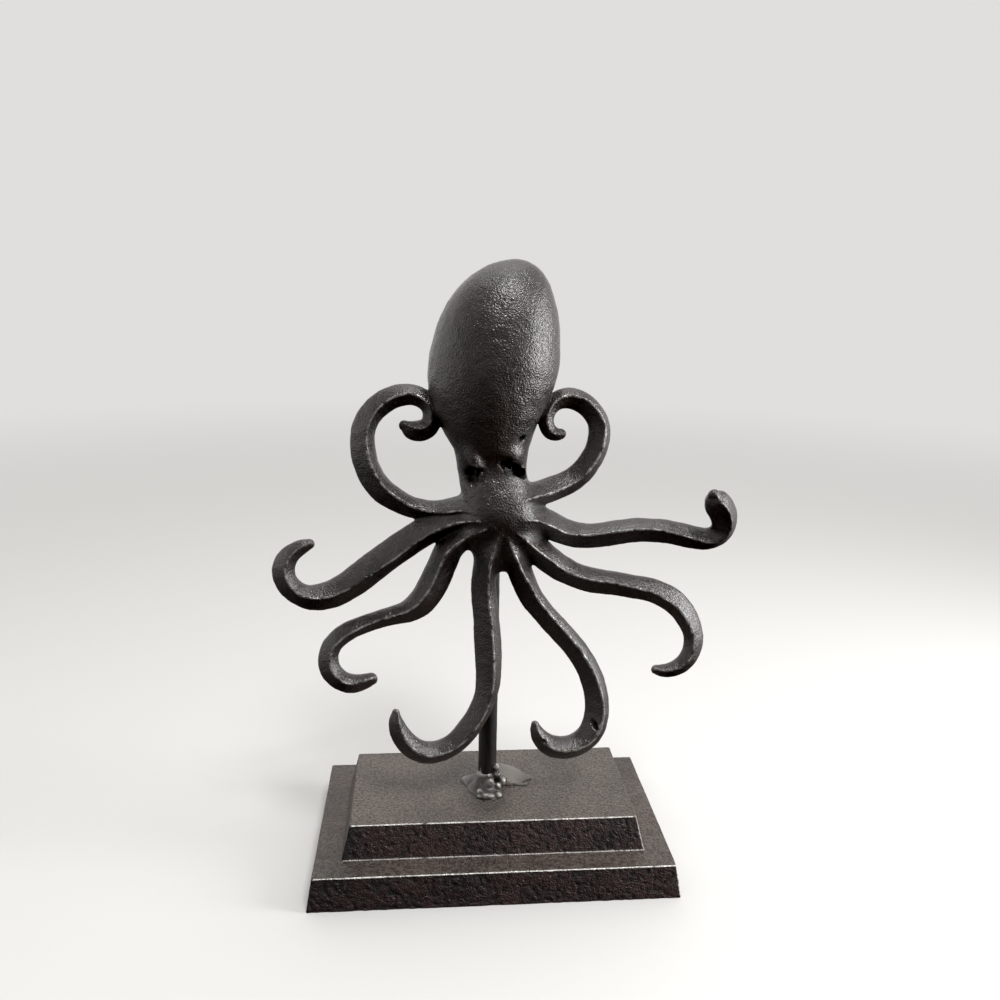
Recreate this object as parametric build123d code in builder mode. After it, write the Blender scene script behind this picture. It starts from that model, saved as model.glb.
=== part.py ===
# Octopus figurine: a cast-iron octopus on a round post, welded to a two-step base.
# Millimetres. Origin at the centre of the base's underside, +X to the viewer's right,
# +Y away from the viewer, +Z up.
import os
from math import sqrt

from build123d import *

os.makedirs("parts", exist_ok=True)

# ---------------------------------------------------------------- driving dimensions
BASE_W = 152.4          # lower step at the bottom, left to right
BASE_D = 89.9           # lower step at the bottom, front to back
STEP_1_H = 13.8         # height of the lower step
STEP_1_DRAFT = 2.2      # how far each side leans in over the lower step
LEDGE = 10.9            # width of the ledge between the steps
STEP_2_H = 13.9         # height of the upper step
STEP_2_DRAFT = 3.3      # how far each side leans in over the upper step
BASE_WALL = 5.0         # wall of the hollow casting
BASE_CORNER_R = 2.0     # rounding of the upright corners
BASE_EDGE_R = 0.7       # rounding of the top edges

POST_R = 4.0            # 8 mm rod
POST_HOLE_R = 4.1       # drilled hole in the deck
POST_X = -1.3           # the rod stands a little left of the middle
POST_TOP_Z = 152.0
POST_TAIL = 1.0         # how far the rod shows under the deck

OCTO_Y = -12.0          # middle plane of the head and hub, front of the rod

FOOT_WELD_R = 8.4       # spread of the weld on the deck, right and back
FOOT_WELD_H = 9.4       # how far it climbs the rod
FOOT_WELD_LEFT = (7.4, 6.4, 2.8)    # half sizes of the tongue that ran out to the left
FOOT_WELD_LEFT_AT = (-7.0, 1.2)
FOOT_WELD_FRONT = (6.6, 6.4, 3.4)   # half sizes of the lump at the front
FOOT_WELD_FRONT_AT = (-2.0, -7.2)
TOP_WELD = (8.0, 5.0, 11.0)
RUNOUT = (8.4, 8.2, 1.7)            # half sizes of the thin lip at the right
RUNOUT_AT = (10.4, 4.2)

EYE_LEFT = (4.8, 4.2, 6.0)      # half sizes of the left brow and eye swelling
EYE_LEFT_AT = (-9.0, -19.6, 178.8)
EYE_RIGHT = (5.6, 4.6, 5.4)     # half sizes of the right one
EYE_RIGHT_AT = (4.4, -20.4, 180.0)

FRONT_RIDGE = 1.0       # front height of an arm's section against its half width
BACK_BULGE = 0.86       # back height of an arm's section against its half width

# head sections: height, middle x, half width, half depth
HEAD_SECTIONS = [
    (164.0, -0.2, 14.0, 12.0),
    (169.0, -1.4, 13.6, 10.6),
    (173.0, -2.1, 13.6, 9.8),
    (177.0, -2.4, 13.9, 10.2),
    (182.0, -2.6, 14.9, 12.1),
    (190.6, -3.8, 18.6, 15.6),
    (198.8, -3.7, 22.1, 18.0),
    (207.0, -2.9, 24.3, 19.6),
    (215.0, -2.0, 25.0, 20.2),
    (223.3, -1.2, 24.2, 19.8),
    (231.6, -0.2, 22.5, 18.6),
    (238.3, 0.8, 20.0, 16.6),
    (243.4, 1.8, 17.1, 14.3),
    (247.1, 2.8, 13.9, 11.7),
    (250.0, 3.8, 10.2, 8.7),
    (252.0, 4.6, 6.3, 5.4),
]
HEAD_TOP = (5.4, 253.3)

# hub sections: height, middle x, half width, half depth, middle y
HUB_SECTIONS = [
    (164.0, -0.2, 14.0, 12.0, -12.0),
    (159.0, 0.6, 14.8, 12.8, -12.2),
    (154.0, 1.2, 15.6, 12.4, -12.2),
    (149.0, 1.5, 15.4, 10.8, -12.0),
    (144.0, 1.6, 13.6, 8.2, -11.6),
    (139.0, 1.7, 10.6, 6.0, -11.2),
    (134.6, 1.8, 7.0, 4.4, -11.0),
    (131.6, 1.8, 3.8, 3.0, -11.0),
]
HUB_TIP = (1.8, -11.0, 130.4)

# centre line of each arm from root to tip: x, y, z, half width
ARM_UPPER_LEFT = [
    (-2.7, -12.0, 157.2, 4.6), (-12.7, -11.5, 158.4, 4.5), (-21.7, -10.5, 156.4, 4.2),
    (-28.5, -10.0, 156.4, 4.2), (-34.4, -10.0, 157.7, 4.3), (-39.9, -10.0, 160.6, 4.7),
    (-44.9, -10.0, 164.3, 5.0), (-48.7, -10.0, 169.0, 5.0), (-51.3, -10.0, 174.7, 4.9),
    (-52.5, -10.0, 180.6, 4.9), (-52.5, -10.0, 185.7, 4.8), (-51.5, -10.0, 190.4, 4.7),
    (-49.4, -10.0, 194.3, 4.6), (-46.3, -10.0, 197.7, 4.6), (-42.5, -10.0, 200.3, 4.5),
    (-38.1, -10.3, 201.9, 4.3), (-33.7, -10.6, 202.2, 4.1), (-29.6, -11.0, 201.0, 3.8),
    (-26.5, -11.3, 198.0, 3.6), (-25.5, -11.5, 194.0, 3.7), (-26.8, -11.5, 190.2, 4.0),
    (-29.9, -11.5, 188.4, 4.3), (-33.2, -11.5, 188.8, 3.9), (-35.4, -11.5, 189.9, 2.9),
    (-36.3, -11.5, 190.5, 2.2),
]
ARM_LEFT = [
    (-3.5, -12.0, 155.4, 4.8), (-11.8, -11.5, 154.6, 5.1), (-21.3, -10.8, 151.6, 5.6),
    (-29.8, -10.2, 146.9, 6.0), (-36.8, -10.0, 142.1, 6.0), (-43.5, -10.0, 137.3, 6.1),
    (-50.0, -10.0, 132.2, 6.2), (-56.5, -10.0, 127.1, 6.1), (-62.9, -10.0, 122.9, 6.0),
    (-68.7, -10.5, 120.8, 5.8), (-74.2, -11.0, 120.5, 5.3), (-78.8, -11.3, 122.2, 4.8),
    (-82.2, -11.6, 125.2, 4.7), (-84.1, -12.0, 129.2, 4.6), (-84.4, -12.3, 133.2, 4.5),
    (-83.0, -12.5, 136.9, 4.2), (-80.3, -12.7, 140.0, 3.7), (-76.9, -12.8, 142.2, 3.1),
    (-74.8, -12.8, 143.1, 2.5), (-73.8, -12.8, 143.5, 2.1),
]
ARM_LOWER_LEFT = [
    (-5.4, -12.0, 150.5, 4.6), (-12.2, -11.5, 146.6, 5.2), (-18.5, -10.8, 140.6, 5.6),
    (-21.6, -10.3, 134.0, 5.9), (-23.8, -10.0, 128.5, 6.1), (-26.5, -10.0, 122.8, 6.0),
    (-30.2, -10.0, 117.5, 5.7), (-35.1, -10.0, 113.9, 4.9), (-40.8, -10.0, 112.0, 4.2),
    (-46.5, -10.0, 110.5, 3.9), (-52.2, -10.0, 108.6, 3.9), (-57.8, -10.3, 106.4, 3.9),
    (-62.6, -10.6, 103.6, 4.0), (-66.2, -11.0, 100.1, 4.0), (-68.0, -11.4, 95.6, 4.0),
    (-67.8, -11.8, 90.9, 4.2), (-65.9, -12.1, 87.0, 4.4), (-62.7, -12.4, 84.4, 4.5),
    (-58.9, -12.6, 83.3, 4.3), (-55.0, -12.7, 83.7, 3.7), (-52.0, -12.8, 84.8, 3.2),
    (-50.8, -12.8, 85.3, 2.8),
]
ARM_BOTTOM_LEFT = [
    (-0.2, -12.0, 148.1, 4.6), (-2.8, -11.5, 140.5, 5.0), (-4.2, -11.0, 132.9, 5.1),
    (-4.7, -10.7, 126.2, 5.3), (-4.5, -10.6, 120.4, 5.3), (-3.9, -10.6, 115.0, 5.3),
    (-3.4, -10.6, 109.5, 5.4), (-2.9, -10.6, 103.7, 5.6), (-2.5, -10.6, 97.6, 5.6),
    (-2.3, -10.7, 91.9, 5.6), (-2.2, -10.9, 86.6, 5.4), (-2.4, -11.1, 81.7, 5.2),
    (-3.3, -11.4, 76.9, 4.8), (-5.1, -11.8, 71.3, 4.8), (-9.2, -12.2, 63.6, 4.8),
    (-15.0, -12.8, 56.2, 4.8), (-21.6, -13.2, 52.2, 4.9), (-28.6, -13.6, 51.4, 5.0),
    (-35.0, -14.0, 54.9, 4.8), (-39.2, -14.3, 61.2, 4.1), (-40.8, -14.5, 67.2, 3.0),
    (-40.7, -14.5, 71.0, 1.7),
]
ARM_BOTTOM_RIGHT = [
    (4.3, -12.0, 145.2, 4.6), (7.3, -11.5, 137.6, 5.0), (9.9, -10.8, 130.5, 5.1),
    (12.3, -10.4, 124.5, 5.0), (15.0, -10.2, 119.3, 4.8), (18.4, -10.2, 114.4, 4.7),
    (22.2, -10.2, 109.8, 4.7), (26.3, -10.2, 105.2, 4.8), (30.5, -10.3, 100.5, 4.8),
    (34.7, -10.5, 95.3, 4.7), (38.8, -10.8, 89.0, 4.8), (42.2, -11.2, 81.2, 4.9),
    (44.0, -11.6, 73.1, 5.1), (44.0, -12.1, 64.9, 5.3), (41.7, -12.6, 57.9, 5.4),
    (36.6, -13.0, 53.2, 5.4), (30.3, -13.4, 51.8, 5.2), (24.2, -13.8, 53.5, 4.7),
    (19.9, -14.1, 57.6, 3.7), (17.9, -14.3, 61.8, 2.6), (17.5, -14.3, 63.8, 1.8),
]
ARM_LOWER_RIGHT = [
    (7.0, -12.0, 148.1, 4.6), (14.1, -11.5, 141.8, 5.2), (21.4, -10.8, 135.9, 5.6),
    (26.9, -10.3, 131.6, 5.5), (32.8, -10.0, 128.6, 5.3), (39.1, -10.0, 126.5, 5.4),
    (45.5, -10.0, 125.2, 5.2), (51.8, -10.0, 124.2, 5.1), (58.2, -10.0, 123.0, 5.1),
    (64.4, -10.3, 121.8, 5.0), (69.6, -10.6, 119.8, 5.1), (74.4, -10.9, 117.0, 5.1),
    (78.4, -11.2, 113.1, 4.9), (81.5, -11.6, 108.4, 4.6), (83.4, -11.9, 103.8, 4.3),
    (84.1, -12.1, 98.8, 4.2), (82.8, -12.4, 93.1, 4.0), (79.0, -12.6, 88.4, 3.7),
    (73.5, -12.8, 86.4, 3.1), (69.8, -12.8, 86.6, 2.5), (68.4, -12.8, 87.0, 2.1),
]
ARM_RIGHT = [
    (8.1, -12.0, 155.6, 4.6), (14.6, -11.5, 154.2, 5.0), (21.1, -10.8, 151.0, 5.3),
    (26.8, -10.3, 147.5, 5.5), (33.0, -10.0, 145.6, 5.4), (39.2, -10.0, 145.3, 5.2),
    (45.3, -10.0, 146.0, 5.2), (51.5, -10.0, 146.9, 5.1), (57.6, -10.0, 147.5, 5.1),
    (63.9, -10.0, 147.4, 5.0), (70.2, -10.0, 146.7, 5.0), (76.4, -10.4, 145.5, 4.9),
    (81.9, -11.0, 144.5, 4.8), (86.5, -12.0, 144.3, 4.6), (90.0, -13.4, 146.1, 4.7),
    (91.8, -15.2, 149.6, 4.9), (91.3, -17.4, 154.2, 5.3), (88.9, -19.8, 158.8, 5.7),
    (86.0, -22.0, 162.3, 5.3), (84.4, -23.4, 164.4, 4.1), (83.8, -24.2, 165.7, 2.4),
]
ARM_UPPER_RIGHT = [
    (6.4, -12.0, 160.1, 4.6), (13.6, -11.5, 162.6, 4.9), (20.6, -10.8, 164.4, 5.1),
    (26.0, -10.3, 166.5, 5.0), (30.5, -10.0, 168.9, 4.9), (34.4, -10.0, 172.4, 4.8),
    (37.4, -10.0, 176.9, 4.7), (39.6, -10.0, 182.0, 4.5), (40.4, -10.0, 187.1, 4.3),
    (39.8, -10.0, 191.7, 4.2), (37.8, -10.0, 195.3, 4.2), (35.1, -10.0, 198.1, 4.2),
    (32.0, -10.0, 200.2, 4.2), (28.5, -10.2, 201.3, 4.1), (24.9, -10.5, 201.2, 3.9),
    (21.6, -11.0, 199.5, 3.6), (19.3, -11.3, 196.3, 3.3), (18.6, -11.5, 192.6, 3.2),
    (19.6, -11.5, 189.2, 3.1), (21.8, -11.5, 187.4, 2.9), (23.9, -11.5, 187.1, 2.5),
    (24.8, -11.5, 187.4, 2.1),
]


# ---------------------------------------------------------------- base
lower_top = (BASE_W - 2 * STEP_1_DRAFT, BASE_D - 2 * STEP_1_DRAFT)
upper_bottom = (lower_top[0] - 2 * LEDGE, lower_top[1] - 2 * LEDGE)
upper_top = (upper_bottom[0] - 2 * STEP_2_DRAFT, upper_bottom[1] - 2 * STEP_2_DRAFT)
deck_z = STEP_1_H + STEP_2_H


def slab(z0, size0, z1, size1, corner):
    """A block with leaning sides between two rounded rectangles."""
    faces = []
    for z, size in ((z0, size0), (z1, size1)):
        with BuildSketch(Plane.XY.offset(z)) as s:
            RectangleRounded(size[0], size[1], corner)
        faces.append(s.sketch)
    with BuildPart() as block:
        loft(sections=faces, ruled=True)
    return block.part


def shrink(size, by):
    return (size[0] - 2 * by, size[1] - 2 * by)


with BuildPart() as base_plinth:
    add(slab(0.0, (BASE_W, BASE_D), STEP_1_H, lower_top, BASE_CORNER_R))
    add(slab(STEP_1_H, upper_bottom, deck_z, upper_top, BASE_CORNER_R))
    ledge_edges = base_plinth.edges().filter_by_position(
        Axis.Z, STEP_1_H - 0.01, STEP_1_H + 0.01
    ).filter_by(lambda e: max(abs(e.center().X) - upper_bottom[0] / 2,
                              abs(e.center().Y) - upper_bottom[1] / 2) > 2.5)
    fillet(ledge_edges, BASE_EDGE_R)
    deck_edges = base_plinth.edges().filter_by_position(Axis.Z, deck_z - 0.01, deck_z + 0.01)
    fillet(deck_edges, BASE_EDGE_R)
    # the hollow underside, one step for each tier
    add(slab(-1.0, shrink((BASE_W, BASE_D), BASE_WALL - 0.2),
             STEP_1_H - BASE_WALL, shrink(lower_top, BASE_WALL), 3.0), mode=Mode.SUBTRACT)
    add(slab(STEP_1_H - BASE_WALL - 0.5, shrink(upper_bottom, BASE_WALL),
             deck_z - BASE_WALL, shrink(upper_top, BASE_WALL), 3.0), mode=Mode.SUBTRACT)
    # the hole for the rod
    with BuildSketch(Plane.XY.offset(deck_z - BASE_WALL - 1.0)) as hole:
        with Locations((POST_X, 0.0)):
            Circle(POST_HOLE_R)
    extrude(amount=BASE_WALL + 2.0, mode=Mode.SUBTRACT)

# ---------------------------------------------------------------- rod
with BuildPart() as post:
    with BuildSketch(Plane.XY.offset(deck_z - BASE_WALL - POST_TAIL)) as rod:
        with Locations((POST_X, 0.0)):
            Circle(POST_R)
    extrude(amount=POST_TOP_Z - (deck_z - BASE_WALL - POST_TAIL))


# ---------------------------------------------------------------- head and hub
def ellipse_at(x, y, z, a, b):
    with BuildSketch(Plane((x, y, z))) as s:
        Ellipse(a, b)
    return s.sketch


def ball(at, size):
    """An ellipsoid from a half-ellipse turned about its upright axis, flattened front to back."""
    sections = []
    for t in (-0.97, -0.86, -0.66, -0.35, 0.0, 0.35, 0.66, 0.86, 0.97):
        k = sqrt(1.0 - t * t)
        sections.append(ellipse_at(at[0], at[1], at[2] + t * size[2], size[0] * k, size[1] * k))
    with BuildPart() as b:
        loft(sections=[Vertex(at[0], at[1], at[2] - size[2])] + sections
             + [Vertex(at[0], at[1], at[2] + size[2])])
    return b.part


with BuildPart() as head_mantle:
    loft(sections=[ellipse_at(x, OCTO_Y, z, a, b) for z, x, a, b in HEAD_SECTIONS]
         + [Vertex(HEAD_TOP[0], OCTO_Y, HEAD_TOP[1])])

with BuildPart() as arm_hub:
    loft(sections=[ellipse_at(x, y, z, a, b) for z, x, a, b, y in HUB_SECTIONS]
         + [Vertex(*HUB_TIP)])
    add(post.part, mode=Mode.SUBTRACT)

with BuildPart() as eye_left:
    add(ball(EYE_LEFT_AT, EYE_LEFT))
    add(head_mantle.part, mode=Mode.SUBTRACT)

with BuildPart() as eye_right:
    add(ball(EYE_RIGHT_AT, EYE_RIGHT))
    add(head_mantle.part, mode=Mode.SUBTRACT)


# ---------------------------------------------------------------- arms
def arm(rows):
    """A tapering arm with a ridge along its front, lofted from root to tip."""
    pts = [Vector(*r[:3]) for r in rows]
    sections = []
    last = len(pts) - 1
    for i, r in enumerate(rows):
        along = (pts[min(i + 1, last)] - pts[max(i - 1, 0)]).normalized()
        front = Vector(0, -1, 0)
        front = (front - along * front.dot(along)).normalized()
        across = front.cross(along)
        a, f, k = r[3], r[3] * FRONT_RIDGE, r[3] * BACK_BULGE
        with BuildSketch(Plane(origin=pts[i], x_dir=across, z_dir=along)) as s:
            with BuildLine():
                ThreePointArc((-a, 0), (-a * 0.62, f * 0.58), (0, f))
                ThreePointArc((0, f), (a * 0.62, f * 0.58), (a, 0))
                ThreePointArc((a, 0), (0, -k), (-a, 0))
            make_face()
        sections.append(s.sketch)
    tip = pts[-1] + (pts[-1] - pts[-2]).normalized() * rows[-1][3] * 0.5
    with BuildPart() as body:
        loft(sections=sections + [Vertex(tip.X, tip.Y, tip.Z)])
    return body.part


def largest(part):
    return part.solids().sort_by(SortBy.VOLUME)[-1]


def rooted_arm(rows, *neighbours):
    """An arm cut back to the hub, the head and the arms it grows beside."""
    with BuildPart() as a:
        add(arm(rows))
        for n in (arm_hub, head_mantle, *neighbours):
            add(n.part, mode=Mode.SUBTRACT)
        add(largest(a.part), mode=Mode.REPLACE)
    return a


arm_upper_left = rooted_arm(ARM_UPPER_LEFT)
arm_left = rooted_arm(ARM_LEFT, arm_upper_left)
arm_lower_left = rooted_arm(ARM_LOWER_LEFT, arm_left)
arm_upper_right = rooted_arm(ARM_UPPER_RIGHT)
arm_right = rooted_arm(ARM_RIGHT, arm_upper_right)
arm_lower_right = rooted_arm(ARM_LOWER_RIGHT, arm_right)
arm_bottom_right = rooted_arm(ARM_BOTTOM_RIGHT, arm_lower_right)
arm_bottom_left = rooted_arm(ARM_BOTTOM_LEFT, arm_lower_left, arm_bottom_right)

# ---------------------------------------------------------------- welds
with BuildPart() as post_top_weld:
    add(ball((POST_X, 1.4, POST_TOP_Z - 3.0), TOP_WELD))
    for n in (post, arm_hub, head_mantle):
        add(n.part, mode=Mode.SUBTRACT)
    add(largest(post_top_weld.part), mode=Mode.REPLACE)

with BuildPart() as flare:
    with BuildSketch(Plane.XZ) as flare_half:
        with BuildLine():
            Line((POST_R, deck_z), (FOOT_WELD_R, deck_z))
            Line((FOOT_WELD_R, deck_z), (FOOT_WELD_R, deck_z + 0.8))
            Spline((FOOT_WELD_R, deck_z + 0.8), (5.9, deck_z + 3.4), (POST_R, deck_z + FOOT_WELD_H))
            Line((POST_R, deck_z + FOOT_WELD_H), (POST_R, deck_z))
        make_face()
    revolve(axis=Axis.Z)
flare.part.position = (POST_X, 0, 0)


def puddle(at, size):
    """The upper half of an ellipsoid, standing on the deck."""
    with BuildPart() as p:
        add(ball((at[0], at[1], deck_z), size))
        with BuildSketch(Plane.XY.offset(deck_z)):
            with Locations(at):
                Rectangle(4 * size[0], 4 * size[1])
        extrude(amount=-3 * size[2], mode=Mode.SUBTRACT)
    return p.part


with BuildPart() as post_foot_weld:
    add(puddle(FOOT_WELD_LEFT_AT, FOOT_WELD_LEFT))
    add(puddle(FOOT_WELD_FRONT_AT, FOOT_WELD_FRONT))
    add(post.part, mode=Mode.SUBTRACT)
    add(flare.part)

with BuildPart() as foot_weld_runout:
    add(puddle(RUNOUT_AT, RUNOUT))
    add(post_foot_weld.part, mode=Mode.SUBTRACT)

# ---------------------------------------------------------------- export
base_plinth.part.label = "base_plinth"
export_step(base_plinth.part, "parts/base_plinth.step")
post.part.label = "post"
export_step(post.part, "parts/post.step")
post_foot_weld.part.label = "post_foot_weld"
export_step(post_foot_weld.part, "parts/post_foot_weld.step")
foot_weld_runout.part.label = "foot_weld_runout"
export_step(foot_weld_runout.part, "parts/foot_weld_runout.step")
post_top_weld.part.label = "post_top_weld"
export_step(post_top_weld.part, "parts/post_top_weld.step")
head_mantle.part.label = "head_mantle"
export_step(head_mantle.part, "parts/head_mantle.step")
arm_hub.part.label = "arm_hub"
export_step(arm_hub.part, "parts/arm_hub.step")
eye_left.part.label = "eye_left"
export_step(eye_left.part, "parts/eye_left.step")
eye_right.part.label = "eye_right"
export_step(eye_right.part, "parts/eye_right.step")
arm_upper_left.part.label = "arm_upper_left"
export_step(arm_upper_left.part, "parts/arm_upper_left.step")
arm_left.part.label = "arm_left"
export_step(arm_left.part, "parts/arm_left.step")
arm_lower_left.part.label = "arm_lower_left"
export_step(arm_lower_left.part, "parts/arm_lower_left.step")
arm_bottom_left.part.label = "arm_bottom_left"
export_step(arm_bottom_left.part, "parts/arm_bottom_left.step")
arm_bottom_right.part.label = "arm_bottom_right"
export_step(arm_bottom_right.part, "parts/arm_bottom_right.step")
arm_lower_right.part.label = "arm_lower_right"
export_step(arm_lower_right.part, "parts/arm_lower_right.step")
arm_right.part.label = "arm_right"
export_step(arm_right.part, "parts/arm_right.step")
arm_upper_right.part.label = "arm_upper_right"
export_step(arm_upper_right.part, "parts/arm_upper_right.step")
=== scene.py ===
import math

import bpy
import numpy as np
from mathutils import Matrix, Vector


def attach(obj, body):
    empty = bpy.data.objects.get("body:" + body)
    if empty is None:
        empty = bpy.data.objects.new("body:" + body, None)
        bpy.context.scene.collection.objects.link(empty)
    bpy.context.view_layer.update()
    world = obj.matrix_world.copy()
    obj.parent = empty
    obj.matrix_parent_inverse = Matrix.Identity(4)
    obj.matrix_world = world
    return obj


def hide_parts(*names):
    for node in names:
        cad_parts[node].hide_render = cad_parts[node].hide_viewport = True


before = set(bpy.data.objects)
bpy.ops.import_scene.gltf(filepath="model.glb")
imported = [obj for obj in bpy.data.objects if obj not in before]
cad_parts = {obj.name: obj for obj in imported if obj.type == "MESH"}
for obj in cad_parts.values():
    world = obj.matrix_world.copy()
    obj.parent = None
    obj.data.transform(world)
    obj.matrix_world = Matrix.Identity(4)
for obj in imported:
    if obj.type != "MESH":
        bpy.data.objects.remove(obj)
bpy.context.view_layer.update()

# Everything below is worked out in millimetres in the shared frame and turned into
# metres only when a mesh is made.
MM = 0.001
VOX = 0.50         # cell of the octopus skin
BASE_STEP = 0.56    # facet of the base casting
VOX_WELD = 0.42

# ------------------------------------------------------------------ shape tables
BASE_W, BASE_D = 152.4, 89.9
STEP_1_H, STEP_1_DRAFT, LEDGE = 13.8, 2.2, 10.9
STEP_2_H, STEP_2_DRAFT = 13.9, 3.3
BASE_WALL = 5.0
DECK_Z = STEP_1_H + STEP_2_H
POST_X, POST_R, POST_TOP_Z = -1.3, 4.0, 152.0

# head, neck and hub as upright stack: height, middle x, middle y, half width, half depth
BODY = np.array([
    (131.6, 1.8, -11.0, 3.2, 2.6),
    (134.6, 1.8, -11.0, 6.6, 3.9),
    (139.0, 1.7, -11.2, 10.4, 5.5),
    (144.0, 1.6, -11.6, 13.4, 7.8),
    (149.0, 1.5, -12.0, 15.2, 10.6),
    (154.0, 1.2, -12.2, 15.6, 12.4),
    (159.0, 0.6, -12.2, 14.8, 12.8),
    (164.0, -0.2, -12.0, 14.0, 12.0),
    (169.0, -1.4, -11.9, 13.6, 10.6),
    (173.0, -2.1, -11.8, 13.6, 9.6),
    (177.0, -2.4, -11.8, 13.9, 9.9),
    (182.0, -2.6, -11.9, 14.9, 12.1),
    (190.6, -3.8, -12.0, 18.6, 15.6),
    (198.8, -3.7, -12.0, 22.1, 18.0),
    (207.0, -2.9, -12.0, 24.3, 19.6),
    (215.0, -2.0, -12.0, 25.0, 20.2),
    (223.3, -1.2, -12.0, 24.2, 19.8),
    (231.6, -0.2, -12.0, 22.5, 18.6),
    (238.3, 0.8, -12.0, 20.0, 16.6),
    (243.4, 1.8, -12.0, 17.1, 14.3),
    (247.1, 2.8, -12.0, 13.9, 11.7),
    (250.0, 3.8, -12.0, 10.2, 8.7),
    (252.0, 4.6, -12.0, 6.3, 5.4),
])
BODY_LOW_Z, BODY_TOP_Z = 130.8, 253.3
NECK_CUT_Z = 164.0

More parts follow.
